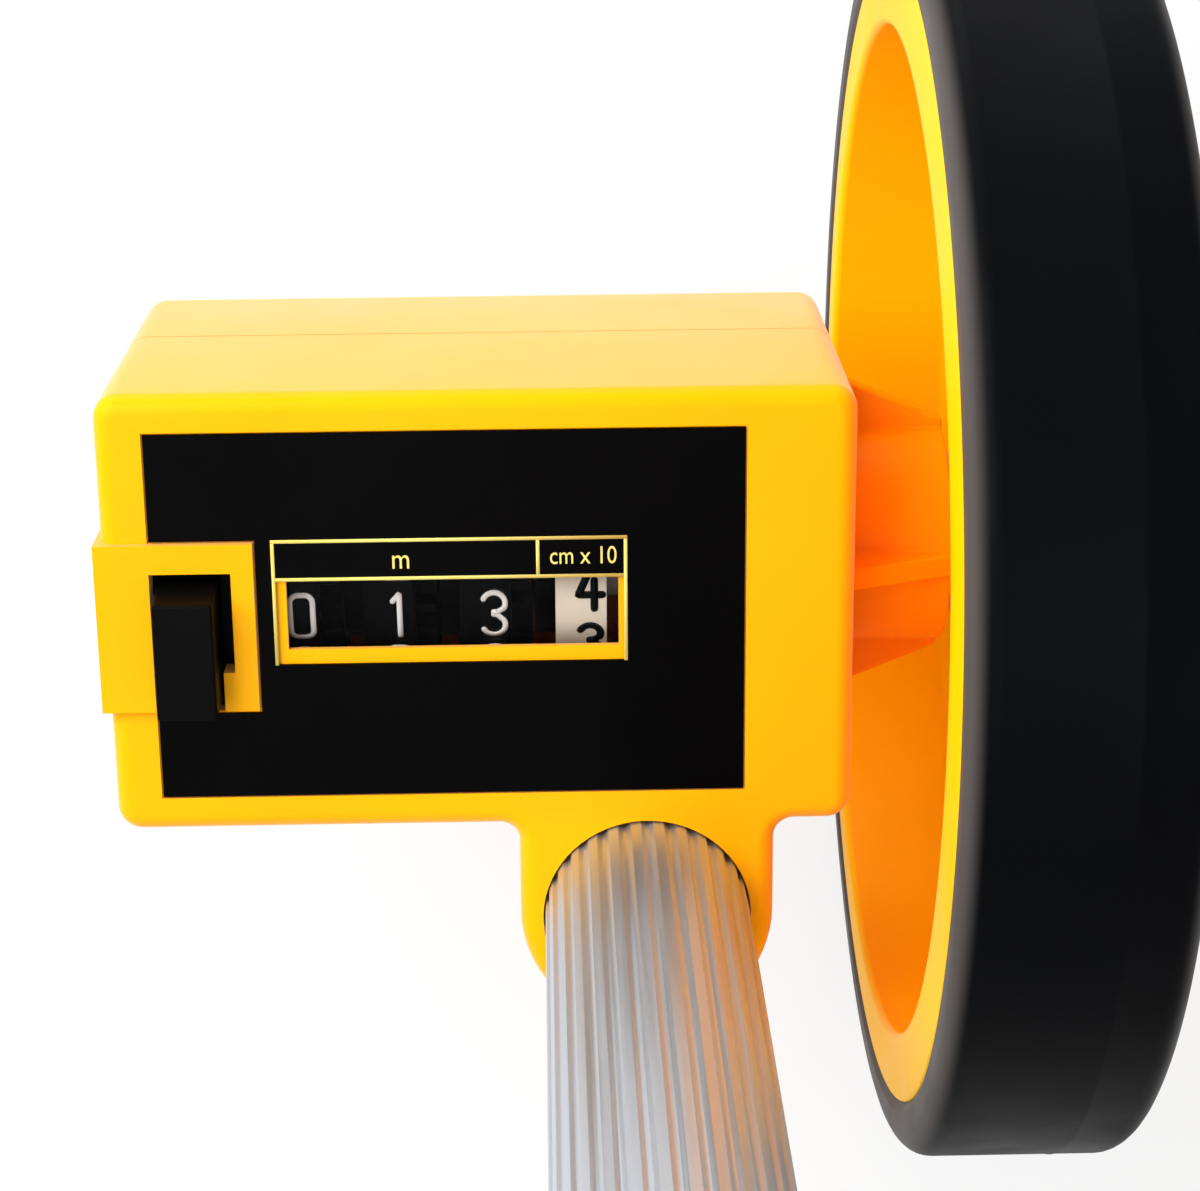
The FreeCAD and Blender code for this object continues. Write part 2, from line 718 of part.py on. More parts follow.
def start_shell(label, low, high, socket_end):
    """Half of the housing as a solid block with the neck of the handle socket under it."""
    body = new_body(label, HOUSING)
    pad(body, "block", "y", low, high, [rectangle("wall_left", "wall_right", "bottom_z", "top_z")])
    round_edges(body, "corners", "corner_round", along_y)
    left = "tube_x - socket_r"
    right = "tube_x + socket_r"
    pad(body, "neck", "y", low, socket_end, [rectangle(left, right, "tube_z", "bottom_z + bite")])
    pad(body, "socket", "y", low, socket_end, [("circle", "tube_x", "tube_z", "socket_r")])
    round_edges(body, "neck_round", "socket_round", socket_corner)
    return body


def open_for_carrier(body):
    pocket(body, "carrier_opening", "x", "in_right - cut_past", "wall_right + cut_past",
           [("circle", "0", "0", "carrier_disc_r + seat_gap")])


def make_front_shell():
    shell = start_shell("front_shell", "face_y", "parting_y", "parting_y")
    round_edges(shell, "rim", "edge_round", lambda edge: flat_at(edge, "face_y"))
    pocket(shell, "cavity", "y", "face_in", "parting_y",
           [rectangle("in_left", "in_right", "bottom_in", "top_in")])
    pocket(shell, "socket_bore", "y", "face_y", "face_y + socket_depth",
           [("circle", "tube_x", "tube_z", "socket_bore")])
    pocket(shell, "tube_screw_hole", "z", "socket_low - cut_past", "tube_z - socket_bore + cut_past",
           [("circle", "tube_x", "face_y + tube_screw_in", "tube_screw_dia/2 + screw_gap")])
    pocket(shell, "tube_screw_sink", "z", "socket_low - cut_past",
           "socket_low + tube_screw_sink + tube_screw_head_thick",
           [("circle", "tube_x", "face_y + tube_screw_in", "tube_screw_head_dia/2 + screw_gap")])
    pocket(shell, "label_recess", "y", "face_y", "face_y + label_recess",
           [rectangle("label_left - label_gap", "label_right + label_gap",
                      "label_bottom - label_gap", "label_top + label_gap")])
    make_bezel(shell)
    pocket(shell, "window", "y", "face_y - cut_past", "face_in + cut_past",
           [rectangle("open_left", "open_right", "open_bottom", "open_top")])
    margin = "(lens_margin + seat_gap)"
    pocket(shell, "lens_seat", "y", "face_in - lens_thick", "face_in",
           [rectangle(f"open_left - {margin}", f"open_right + {margin}",
                      f"open_bottom - {margin}", f"open_top + {margin}")])
    open_for_carrier(shell)
    posts = [("circle", x, z, "post_dia/2") for x, z in HOUSING_SCREWS]
    pad(shell, "posts", "y", "face_in - bite", "parting_y", posts)
    pocket(shell, "post_bores", "y", "back_y - screw_sink - screw_length - cut_past", "parting_y",
           [("circle", x, z, "screw_dia/2 + thread_gap") for x, z in HOUSING_SCREWS])
    pad(shell, "frame_posts", "y", "face_in - bite", "frame_back",
        [("circle", "frame_post_x", z, "frame_post_dia/2") for z in FRAME_SCREWS])
    pocket(shell, "frame_bores", "y", "frame_back + frame_thick - frame_screw_length - cut_past",
           "frame_back", [("circle", "frame_post_x", z, "frame_screw_dia/2 + thread_gap")
                          for z in FRAME_SCREWS])


def make_bezel(shell):
    """The raised frame round the reset slot, wrapped onto the left wall."""
    pad(shell, "bezel_fill", "y", "face_y", "face_y + label_recess",
        [rectangle("label_left - label_gap - bite", "bezel_right", "bezel_bottom", "bezel_top")])
    pad(shell, "bezel_face", "y", "bezel_front", "face_y",
        [rectangle("bezel_left", "bezel_right", "bezel_bottom", "bezel_top")])
    pad(shell, "bezel_side", "y", "face_y", "face_y + bezel_wrap_depth",
        [rectangle("bezel_left", "wall_left + edge_round", "bezel_bottom", "bezel_top")])
    pocket(shell, "slot", "y", "bezel_front - cut_past", "face_in + cut_past", [[
        ("slot_left", "slot_bottom"), ("slot_tab", "slot_bottom"), ("slot_tab", "slot_tab_top"),
        ("slot_right", "slot_tab_top"), ("slot_right", "slot_top"), ("slot_left", "slot_top")]])


def make_rear_cover():
    cover = start_shell("rear_cover", "parting_y", "back_y", "parting_y + socket_cap")
    round_edges(cover, "rim", "edge_round", lambda edge: flat_at(edge, "back_y"))
    pocket(cover, "cavity", "y", "parting_y", "back_in",
           [rectangle("in_left", "in_right", "bottom_in", "top_in")])
    pocket(cover, "socket_core", "y", "parting_y", "parting_y + socket_cap - socket_wall",
           [("circle", "tube_x", "tube_z", "socket_bore")])
    open_for_carrier(cover)
    pad(cover, "posts", "y", "parting_y", "back_in + bite",
        [("circle", x, z, "post_dia/2") for x, z in HOUSING_SCREWS])
    pocket(cover, "screw_holes", "y", "parting_y - cut_past", "back_y + cut_past",
           [("circle", x, z, "screw_dia/2 + screw_gap") for x, z in HOUSING_SCREWS])
    pocket(cover, "screw_sinks", "y", "back_y - screw_sink", "back_y + cut_past",
           [("circle", x, z, "screw_head_dia/2 + screw_gap") for x, z in HOUSING_SCREWS])


def make_screw_group(label, spots, seat, shank_r, length, head_r, head_thick):
    """Identical screws along Y, each a solid of its own, in one node."""
    screws = []
    for number, (x, z) in enumerate(spots, start=1):
        shank = doc.addObject("Part::Cylinder", f"{label}_shank_{number}")
        head = doc.addObject("Part::Cylinder", f"{label}_head_{number}")
        for solid, radius, low, tall in ((shank, shank_r, f"({seat}) - ({length})", length),
                                         (head, head_r, seat, head_thick)):
            bind(solid, "Radius", radius)
            bind(solid, "Height", tall)
            solid.Placement.Rotation = Rotation(Vector(1, 0, 0), -90)
            bind(solid, "Placement.Base.x", x)
            bind(solid, "Placement.Base.y", low)
            bind(solid, "Placement.Base.z", z)
        screw = doc.addObject("Part::Fuse", f"{label}_{number}")
        screw.Base = shank
        screw.Tool = head
        screws.append(screw)
    group = doc.addObject("Part::Compound", label)
    group.Label = label
    group.Links = screws
    group.Placement = HOUSING
    parts.append(group)


def make_tube_screw():
    low = "socket_low + tube_screw_sink"
    head_top = f"{low} + tube_screw_head_thick"
    screw = new_body("tube_screw", HOUSING)
    at = ("tube_x", "face_y + tube_screw_in")
    pad(screw, "head", "z", low, head_top, [("circle", *at, "tube_screw_head_dia/2")])
    pad(screw, "shank", "z", head_top, "tube_z - tube_bore + tube_screw_reach",
        [("circle", *at, "tube_screw_dia/2")])


def make_label():
    label = new_body("face_label", HOUSING)
    notch_right = "bezel_right + label_gap"
    notch_top = "bezel_top + label_gap"
    notch_bottom = "slot_bottom - label_gap"
    outline = [
        ("label_left", "label_bottom"), ("label_right", "label_bottom"),
        ("label_right", "label_top"), ("label_left", "label_top"),
        ("label_left", notch_top), (notch_right, notch_top),
        (notch_right, notch_bottom), ("label_left", notch_bottom)]
    pad(label, "plate", "y", "face_y + label_recess - label_thick", "face_y + label_recess",
        [outline, rectangle("window_left", "window_right", "window_bottom", "window_top")])


def make_lens():
    lens = new_body("window_lens", HOUSING)
    pad(lens, "pane", "y", "face_in - lens_thick", "face_in",
        [rectangle("open_left - lens_margin", "open_right + lens_margin",
                   "open_bottom - lens_margin", "open_top + lens_margin")])


def make_reset_button():
    button = new_body("reset_button", HOUSING)
    block = [("button_front", "button_bottom"), ("button_back", "button_bottom"),
             ("button_back", "button_top"), ("face_y", "button_top"),
             ("button_front", "button_top - button_top_fall")]
    pad(button, "block", "x", "button_left", "button_right", [block])
    front = "face_in + button_seat_gap"
    pad(button, "flange", "y", front, f"{front} + button_flange_thick",
        [rectangle("slot_left - button_flange_margin", "slot_right + button_flange_side",
                   "slot_bottom - button_flange_margin", "slot_top + button_flange_margin")])


# ---------------------------------------------------------------- counter
DRUMS = ["drum_tenths", "drum_units", "drum_tens", "drum_hundreds"]


def drum_middle(order):
    return f"drum_first - {order}*drum_pitch"


def make_drum(order):
    """A number drum, drawn about its digit's middle."""
    label = DRUMS[order]
    driven = order > 0
    drives = order < value("drum_count") - 1
    left = "-drum_band_left"
    right = "drum_band_right"
    web_left = f"({left} + {right} - drum_web)/2"
    web_right = f"({left} + {right} + drum_web)/2"
    bore = "counter_r + running_gap" if driven else "counter_r"
    hub = "drum_hub_dia/2"
    rim_in = "drum_r - drum_wall"
    far_left = f"{left} - drum_side" if drives else left
    far_right = f"{right} + drum_side"
    lock = "lock_ring_dia/2"
    gear_r = "transfer_module*(drum_teeth + tooth_tips)/2"
    profile = [(far_left, bore), (far_left, lock if drives else hub)]
    if drives:
        profile += [(left, lock)]
    else:
        profile += [(web_left, hub), (web_left, rim_in), (left, rim_in)]
    profile += [(left, "drum_r"), (right, "drum_r")]
    if driven:
        profile += [(right, gear_r), (far_right, gear_r)]
    else:
        profile += [(right, rim_in), (web_right, rim_in), (web_right, hub), (far_right, hub)]
    profile += [(far_right, bore)]
    drum = lathe(label, housing_at(drum_middle(order), "counter_y"), profile)
    if driven:
        cut_teeth(drum, "gear", right, f"{far_right} + cut_past", "transfer_module", "drum_teeth")
    if drives:
        pocket(drum, "carry_notch", "x", f"{far_left} - cut_past", left,
               [rectangle("-carry_notch/2", "carry_notch/2", f"{lock} - carry_notch_depth",
                          f"{lock} + cut_past")])


def make_transfer_pinion(order):
    """The pinion between a drum and the next lower one, on its own shaft."""
    left = f"{drum_middle(order)} + drum_band_right + pinion_side_gap"
    right = f"{drum_middle(order - 1)} - drum_band_left - pinion_side_gap"
    pinion = ring(f"transfer_pinion_{order}", housing_at("0", "counter_y", "transfer_gap"),
                  left, right, "pinion_shaft_dia/2 + running_gap",
                  "transfer_module*(pinion_teeth + tooth_tips)/2")
    cut_teeth(pinion, "teeth", f"{left} - cut_past", f"{right} + cut_past",
              "transfer_module", "pinion_teeth")
    # half a tooth round, so that its teeth stand in the drum gear's spaces
    half_tooth = Placement(Vector(), Rotation(Vector(1, 0, 0), 180 / value("pinion_teeth")))
    pinion.Placement = pinion.Placement.multiply(half_tooth)


def make_counter():
    for order in range(int(value("drum_count"))):
        make_drum(order)
    for order in range(1, int(value("drum_count"))):
        make_transfer_pinion(order)

    at_shaft = housing_at("0", "counter_y")
    shaft_left = "frame_out_left - shaft_proud"
    lathe("counter_shaft", at_shaft, rectangle(shaft_left, "drive_hub_right", "0", "counter_r"))
    gear_out = "drive_module*(drive_teeth + tooth_tips)/2"
    gear = lathe("drive_gear", at_shaft, [
        ("drive_left", "counter_r"), ("drive_left", gear_out), ("drive_right", gear_out),
        ("drive_right", "drum_hub_dia/2"), ("drive_hub_right", "drum_hub_dia/2"),
        ("drive_hub_right", "counter_r")])
    cut_teeth(gear, "teeth", "drive_left - cut_past", "drive_right", "drive_module", "drive_teeth")
    lathe("pinion_shaft", housing_at("0", "counter_y", "transfer_gap"),
          rectangle("frame_out_left", "frame_out_right", "0", "pinion_shaft_dia/2"))
    make_counter_frame()


def make_counter_frame():
    """The pressed channel that holds the shafts, with an ear for a screw at either end."""
    frame = new_body("counter_frame", HOUSING)
    back = "frame_back + frame_thick"
    pad(frame, "channel", "z", "-frame_low", "frame_high", [[
        ("frame_out_left", "frame_front_y"), ("frame_left", "frame_front_y"),
        ("frame_left", "frame_back"), ("frame_right", "frame_back"),
        ("frame_right", "frame_front_y"), ("frame_out_right", "frame_front_y"),
        ("frame_out_right", back), ("frame_out_left", back)]])
    ear_left = "frame_post_x - frame_ear_width/2"
    ear_right = "frame_post_x + frame_ear_width/2"
    pad(frame, "ears", "y", "frame_back", back,
        [rectangle(ear_left, ear_right, "frame_post_low - frame_ear_past",
                   "frame_post_high + frame_ear_past")])
    pocket(frame, "shaft_holes", "x", "frame_out_left - cut_past", "frame_out_right + cut_past", [
        ("circle", "counter_y", "0", "counter_r + running_gap"),
        ("circle", "counter_y", "transfer_gap", "pinion_shaft_dia/2"),
        ("circle", "reset_y", "reset_z", "reset_bar_dia/2 + running_gap")])
    pocket(frame, "screw_holes", "y", "frame_back - cut_past", f"{back} + cut_past",
           [("circle", "frame_post_x", z, "frame_screw_dia/2 + screw_gap")
            for z in FRAME_SCREWS])


def make_reset_bar():
    """The bar that the button turns, with one zeroing finger over each drum."""
    bar = lathe("reset_bar", housing_at("0", "reset_y", "reset_z"),
                rectangle("crank_x", "frame_out_right + reset_bar_proud", "0", "reset_bar_dia/2"))
    pad(bar, "crank", "x", "crank_x", "crank_x + crank_thick",
        [rectangle("-crank_half", "crank_half", "-crank_reach", "reset_bar_dia/2")])
    aim = "atan(reset_bar_ahead/reset_z) - finger_rest_angle*1 deg"
    dy = f"sin({aim})"
    dz = f"cos({aim})"
    half = "finger_width/2"
    near_y = f"{half}*{dz}"
    near_z = f"{half}*{dy}"
    far_y = f"(finger_reach*{dy})"
    far_z = f"(finger_reach*{dz})"
    finger = [(f"-{near_y}", f"-{near_z}"), (f"{near_y}", f"{near_z}"),
              (f"{far_y} + {near_y}", f"-{far_z} + {near_z}"),
              (f"{far_y} - {near_y}", f"-{far_z} - {near_z}")]
    for order in range(int(value("drum_count"))):
        middle = f"{drum_middle(order)} - drum_band_left + drum_band/2"
        pad(bar, f"finger_{order}", "x", f"{middle} - finger_thick/2",
            f"{middle} + finger_thick/2", [finger])


def make_reset_spring():
    """A torsion coil round the reset bar, beside the frame's left plate."""
    wire = value("spring_wire") / 2
    radius = value("reset_bar_dia/2 + spring_clear") + wire
    height = value("spring_turns*spring_pitch")
    # the long helix has an edge for each turn, which gives the coil a face for each turn
    path = Part.makeLongHelix(value("spring_pitch"), height, radius)
    section = Part.Wire(Part.makeCircle(wire, Vector(radius, 0, 0), Vector(0, 1, 0)))
    coil = Part.Wire(path.Edges).makePipeShell([section], True, True)
    spring = doc.addObject("Part::Feature", "reset_spring")
    spring.Label = "reset_spring"
    spring.Shape = coil
    start = housing_at("frame_out_left", "reset_y", "reset_z")
    lie_left = Placement(Vector(-wire, 0, 0), Rotation(Vector(0, 1, 0), -90))
    spring.Placement = start.multiply(lie_left)
    parts.append(spring)


# ---------------------------------------------------------------- handle
def make_handle():
    tube = ring("outer_tube", HANDLE, "-tube_in_socket", "tube_reach", "tube_bore", "tube_r")
    flute = pocket(tube, "flute", "x", "-tube_in_socket - cut_past", "tube_reach + cut_past",
                   [("circle", "0", "tube_r + flute_round - flute_depth", "flute_round")])
    repeat_about_x(tube, "flute", flute, "flutes")
    # the fixing screw enters from the far side of the tube
    pocket(tube, "screw_hole", "z", "-tube_r - cut_past", "-tube_bore + cut_past",
           [("circle", "-tube_screw_in", "0", "tube_screw_dia/2 + thread_gap")])

    ring("inner_tube", HANDLE, "inner_tube_start", "inner_tube_end", "inner_bore", "inner_r")
    plug_r = "tube_bore - plug_gap"
    lathe("guide_plug", HANDLE, [
        ("inner_tube_start - plug_flange", "0"), ("inner_tube_start - plug_flange", plug_r),
        ("inner_tube_start", plug_r), ("inner_tube_start", "inner_bore"),
        ("inner_tube_start + plug_length", "inner_bore"), ("inner_tube_start + plug_length", "0")])
    make_clamp()
    rim = "grip_start + grip_flange_length"
    bore = "inner_r + grip_bore_gap"
    lathe("handle_grip", HANDLE, [
        ("grip_start", bore), ("grip_start", "grip_flange_r - grip_flange_chamfer"),
        ("grip_start + grip_flange_chamfer", "grip_flange_r"),
        (f"{rim} - grip_flange_slope", "grip_flange_r"),
        (rim, "grip_r"), ("grip_end", "grip_r"), ("grip_end", bore)])
    lathe("grip_end_plug", HANDLE, [
        ("inner_tube_end - end_plug_spigot", "0"),
        ("inner_tube_end - end_plug_spigot", "inner_bore"),
        ("grip_end", "inner_bore"), ("grip_end", "end_plug_r"),
        ("grip_end + end_plug_thick/2", "end_plug_r"),
        ("grip_end + end_plug_thick", "end_plug_r - end_plug_ease"),
        ("grip_end + end_plug_thick", "0")])


def make_clamp():
    tube_side = "tube_r + collar_bore_gap"
    inner_side = "inner_r + collar_bore_gap"
    stop = "tube_reach + tube_end_gap"
    ease = "collar_chamfer"
    collar = lathe("clamp_collar", HANDLE, [
        ("collar_start", tube_side), ("collar_start", f"clamp_collar_r - {ease}"),
        (f"collar_start + {ease}", "clamp_collar_r"), (f"collar_end - {ease}", "clamp_collar_r"),
        ("collar_end", f"clamp_collar_r - {ease}"), ("collar_end", inner_side),
        (stop, inner_side), (stop, tube_side)])
    ear = rectangle("tube_r + clamp_ear_root", "clamp_collar_r + clamp_ear_reach",
                    "-clamp_ear_half", "clamp_ear_half")
    low = "collar_start + clamp_ear_inset"
    high = "collar_end - clamp_ear_inset"
    pad(collar, "low_ear", "x", low, f"{low} + clamp_ear_thick", [ear])
    pad(collar, "high_ear", "x", f"{high} - clamp_ear_thick", high, [ear])
    pocket(collar, "pin_holes", "x", f"{low} - cut_past", f"{high} + cut_past",
           [("circle", "clamp_pin_out", "0", "clamp_pin_dia/2")])

    pin = new_body("clamp_pin", HANDLE)
    pad(pin, "pin", "x", low, high, [("circle", "clamp_pin_out", "0", "clamp_pin_dia/2")])

    lever_low = f"{low} + clamp_ear_thick + clamp_side_gap"
    lever_high = f"{high} - clamp_ear_thick - clamp_side_gap"
    lever = new_body("clamp_lever", HANDLE)
    pad(lever, "eye", "x", lever_low, lever_high,
        [("circle", "clamp_pin_out", "0", "clamp_lever_eye/2")])
    pad(lever, "blade", "x", lever_low, lever_high, [lever_outline()])
    pocket(lever, "pin_bore", "x", f"{lever_low} - cut_past", f"{lever_high} + cut_past",
           [("circle", "clamp_pin_out", "0", "clamp_pin_dia/2 + running_gap")])


def lever_outline():
    """A band that follows the collar from the pin, with a raised lip at its free end."""
    steps = int(value("clamp_lever_steps"))
    inner = []
    outer = []
    for step in range(steps + 1):
        angle = f"(clamp_lever_sweep*{step}/clamp_lever_steps)"
        inner.append((f"lever_in*cos({angle})", f"lever_in*sin({angle})"))
        lip = "clamp_lever_lip" if step == steps else "0"
        reach = f"(lever_in + clamp_lever_thick + {lip})"
        outer.append((f"{reach}*cos({angle})", f"{reach}*sin({angle})"))
    return inner + outer[::-1]


# ---------------------------------------------------------------- build, check, write
make_wheel()
make_carrier()
make_front_shell()
make_rear_cover()
make_label()
make_lens()
make_reset_button()
make_counter()
make_reset_bar()
make_reset_spring()
make_handle()
make_tube_screw()
make_screw_group("housing_screws", HOUSING_SCREWS, "back_y - screw_sink", "screw_dia/2",
                 "screw_length", "screw_head_dia/2", "screw_head_thick")
make_screw_group("frame_screws", [("frame_post_x", z) for z in FRAME_SCREWS],
                 "frame_back + frame_thick", "frame_screw_dia/2", "frame_screw_length",
                 "frame_screw_head_dia/2", "frame_screw_head_thick")
doc.recompute()

for thing in doc.Objects:
    if "Invalid" in thing.State or "Error" in thing.State:
        raise RuntimeError(f"{thing.Name} failed: {thing.State}")
for part in parts:
    if part.Shape.isNull() or not part.Shape.isValid() or not part.Shape.Solids:
        raise RuntimeError(f"{part.Label} has no valid shape")

os.makedirs("parts", exist_ok=True)
for part in parts:
    part.Shape.exportStep(os.path.join("parts", part.Label + ".step"))
    box = part.Shape.BoundBox
    print(f"{part.Label:18s} {len(part.Shape.Solids)} solid(s) {part.Shape.Volume:10.1f} mm3  "
          f"x {box.XMin:7.1f} {box.XMax:7.1f}  y {box.YMin:7.1f} {box.YMax:7.1f}  "
          f"z {box.ZMin:7.1f} {box.ZMax:7.1f}")
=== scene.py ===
# %% [markdown]
# # A distance measuring wheel with a geared counter
# The tool is rolled along the ground by its handle. A rubber tyre turns, a pair of small gears
# halves its speed, and four number drums behind a window show how far it has gone.
# The construction comes ready made: every piece has its true size and place, and this lesson
# gives each one its surface. It works in metres, and thinks in millimetres.

import json
import math

import bmesh
import bpy
import numpy as np
from mathutils import Matrix, Vector


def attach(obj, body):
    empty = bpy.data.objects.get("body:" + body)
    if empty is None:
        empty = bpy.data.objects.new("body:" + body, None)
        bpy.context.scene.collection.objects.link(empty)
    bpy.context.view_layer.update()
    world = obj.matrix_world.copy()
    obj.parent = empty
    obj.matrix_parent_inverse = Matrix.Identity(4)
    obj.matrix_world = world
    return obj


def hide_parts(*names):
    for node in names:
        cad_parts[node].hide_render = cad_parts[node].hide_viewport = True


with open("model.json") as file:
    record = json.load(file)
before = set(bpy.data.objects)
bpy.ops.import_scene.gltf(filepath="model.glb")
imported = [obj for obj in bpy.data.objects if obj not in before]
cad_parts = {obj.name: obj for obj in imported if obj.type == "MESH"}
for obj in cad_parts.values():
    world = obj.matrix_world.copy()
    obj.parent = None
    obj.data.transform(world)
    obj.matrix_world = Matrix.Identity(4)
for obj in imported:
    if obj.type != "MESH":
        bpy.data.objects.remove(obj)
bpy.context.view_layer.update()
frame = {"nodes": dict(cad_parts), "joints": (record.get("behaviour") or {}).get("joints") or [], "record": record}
MM = 0.001

# %% [markdown]
# ## Three places to draw in
# The housing leans back with the handle, so drawing it upright and turning it afterwards is far
# easier than drawing it tilted. The joints say where things are: the wheel's joint gives the
# axle, and the handle's slide gives the direction that the housing faces.

# %% Find the wheel, the housing, the counter and the handle
joints = {joint["name"]: joint for joint in frame["joints"]}
bodies = frame["record"]["behaviour"]["bodies"]
body_of = {node: body for body, nodes in bodies.items() for node in nodes}
slot_of = {part["node"]: part["material_slot"] for part in frame["record"]["subparts"]}

axle = Vector(joints["wheel_spin"]["pos_m"])
facing = Vector(joints["handle_slide"]["axis"])
across = Vector((1, 0, 0))
upright = across.cross(-facing)
turned_back = Matrix((across, -facing, upright)).transposed().to_4x4()

WHEEL = Matrix.Translation(axle)
HOUSING = Matrix.Translation(axle) @ turned_back
COUNTER = Matrix.Translation(joints["tenths_spin"]["pos_m"]) @ turned_back


def local_box(node, place):
    """Lowest and highest corner of a CAD node along a place's own axes, in millimetres."""
    mesh = frame["nodes"][node].data
    points = np.empty(len(mesh.vertices) * 3)
    mesh.vertices.foreach_get("co", points)
    inverse = np.array(place.inverted())
    local = points.reshape(-1, 3) @ inverse[:3, :3].T + inverse[:3, 3]
    return local.min(0) / MM, local.max(0) / MM


tube_low, tube_high = local_box("outer_tube", HOUSING)
tube_centre = (tube_low + tube_high) / 2
HANDLE = HOUSING @ Matrix.Translation(Vector((tube_centre[0], 0, tube_centre[2])) * MM)
HANDLE = HANDLE @ Matrix.Rotation(-math.pi / 2, 4, "Z")
right_side = local_box("front_shell", HOUSING)[1][0]
lean = math.degrees(math.asin(facing.z))
tube_across = tube_high[0] - tube_low[0]
print(f"the handle rises at {lean:.0f} degrees, and its tube is {tube_across:.1f} mm thick")

# %% [markdown]
# ## Surfaces from grids
# Almost everything on this tool is turned, extruded or moulded, so one helper is enough for the
# new pieces: it joins a grid of points with four-sided faces. A turned piece is the same grid
# with an outline carried round the axle.


# %% Helpers that make meshes
def place_points(points, place):
    """Millimetres in a place's own axes become metres in the shared frame."""
    matrix = np.array(place)
    return points * MM @ matrix[:3, :3].T + matrix[:3, 3]


def new_piece(name, points, faces, place):
    """A smooth-shaded mesh object from points in millimetres."""
    mesh = bpy.data.meshes.new(name)
    mesh.from_pydata(place_points(points, place).tolist(), [], faces.tolist())
    mesh.shade_smooth()
    piece = bpy.data.objects.new(name, mesh)
    bpy.context.scene.collection.objects.link(piece)
    return piece


def grid_faces(rows, columns, close_rows=False, close_columns=False, first=0):
    """Quads between neighbours of a grid, each as (i, j), (i, j+1), (i+1, j+1), (i+1, j)."""
    i = np.arange(rows if close_rows else rows - 1)
    j = np.arange(columns if close_columns else columns - 1)
    i, j = np.meshgrid(i, j, indexing="ij")
    below = (i + 1) % rows
    beside = (j + 1) % columns
    corners = [i * columns + j, i * columns + beside, below * columns + beside, below * columns + j]
    return np.stack(corners, -1).reshape(-1, 4) + first


def rounded(corners, steps=6):
    """An outline with rounded corners: each corner is (x, r, radius).

    The arc touches both sides at radius / tan(half the corner's angle) from the corner.
    """
    outline = []
    count = len(corners)
    for index, (x, r, radius) in enumerate(corners):
        here = np.array([x, r], float)
        if radius == 0:
            outline.append(here[None])
            continue
        before = np.array(corners[index - 1][:2], float) - here
        after = np.array(corners[(index + 1) % count][:2], float) - here
        before /= np.linalg.norm(before)
        after /= np.linalg.norm(after)
        half = math.acos(np.clip(before @ after, -1, 1)) / 2
        middle = (before + after) / np.linalg.norm(before + after)
        centre = here + middle * radius / math.sin(half)
        start = here + before * radius / math.tan(half) - centre
        end = here + after * radius / math.tan(half) - centre
        share = np.linspace(0, 1, steps + 1)[:, None]
        turn = math.pi - 2 * half
        arc = (np.sin((1 - share) * turn) * start + np.sin(share * turn) * end) / math.sin(turn)
        outline.append(centre + arc)
    return np.concatenate(outline)


def turned(name, outline, place, segments, closed=True):
    """A surface of revolution: (x, r) becomes (x, r cos a, r sin a) for a round the full turn."""
    angle = np.linspace(0, 2 * np.pi, segments, endpoint=False)
    x = np.repeat(outline[:, :1], segments, axis=1)
    y = outline[:, 1:] * np.cos(angle)
    z = outline[:, 1:] * np.sin(angle)
    points = np.stack([x, y, z], -1).reshape(-1, 3)
    faces = grid_faces(len(outline), segments, close_rows=closed, close_columns=True)
    return new_piece(name, points, faces, place)


def settle(piece, node, material, body=None, replaces=True):
    """Give a piece its finish and let it move with the body that its CAD node is on."""
    piece.data.materials.clear()
    piece.data.materials.append(material)
    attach(piece, body or body_of[node])
    if replaces:
        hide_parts(node)
    return piece


def sharpen(piece, angle):
    """Mark the edges that turn more than an angle as sharp, so that flat faces stay flat."""
    piece.data.set_sharp_from_angle(angle=math.radians(angle))


def ease_edges(piece, width):
    """A small bevel, two faces wide, that stays an editable step of the piece."""
    bevel = piece.modifiers.new("eased_edges", "BEVEL")
    bevel.width = width * MM
    bevel.segments = 2
    return bevel


EDGE_ANGLE = 32


def eased(node, width):
    """A CAD node's own shape with its flat faces made whole and its corners eased.

    The loose triangles are joined at shared points, neighbours that lie in one plane are
    merged, and a bevel catches the light along every edge that turns more than EDGE_ANGLE.
    """
    source = frame["nodes"][node].data
    points = np.empty(len(source.vertices) * 3)
    source.vertices.foreach_get("co", points)
    corners = np.empty(len(source.loops), np.int32)
    source.loops.foreach_get("vertex_index", corners)
    mesh = bpy.data.meshes.new(node + "_skin")
    mesh.from_pydata(points.reshape(-1, 3).tolist(), [], corners.reshape(-1, 3).tolist())
    work = bmesh.new()
    work.from_mesh(mesh)
    bmesh.ops.remove_doubles(work, verts=work.verts, dist=0.001 * MM)
    almost_flat = math.radians(0.4)
    bmesh.ops.dissolve_limit(work, angle_limit=almost_flat, verts=work.verts, edges=work.edges)
    work.to_mesh(mesh)
    work.free()
    mesh.shade_smooth()
    piece = bpy.data.objects.new(node + "_skin", mesh)
    bpy.context.scene.collection.objects.link(piece)
    sharpen(piece, EDGE_ANGLE)
    bevel = ease_edges(piece, width)
    bevel.limit_method = "ANGLE"
    bevel.angle_limit = math.radians(EDGE_ANGLE)
    bevel.harden_normals = True
    bevel.use_clamp_overlap = True
    return piece


# %% [markdown]
# ## Effects that several finishes share
# A moulded surface is never one flat colour: the melt leaves broad, faint clouds, and the
# polished steel of the mould leaves a fine grain. Metal keeps the marks of how it was drawn or
# turned. Each effect is a node group with its own inputs, placed in every finish that needs it.


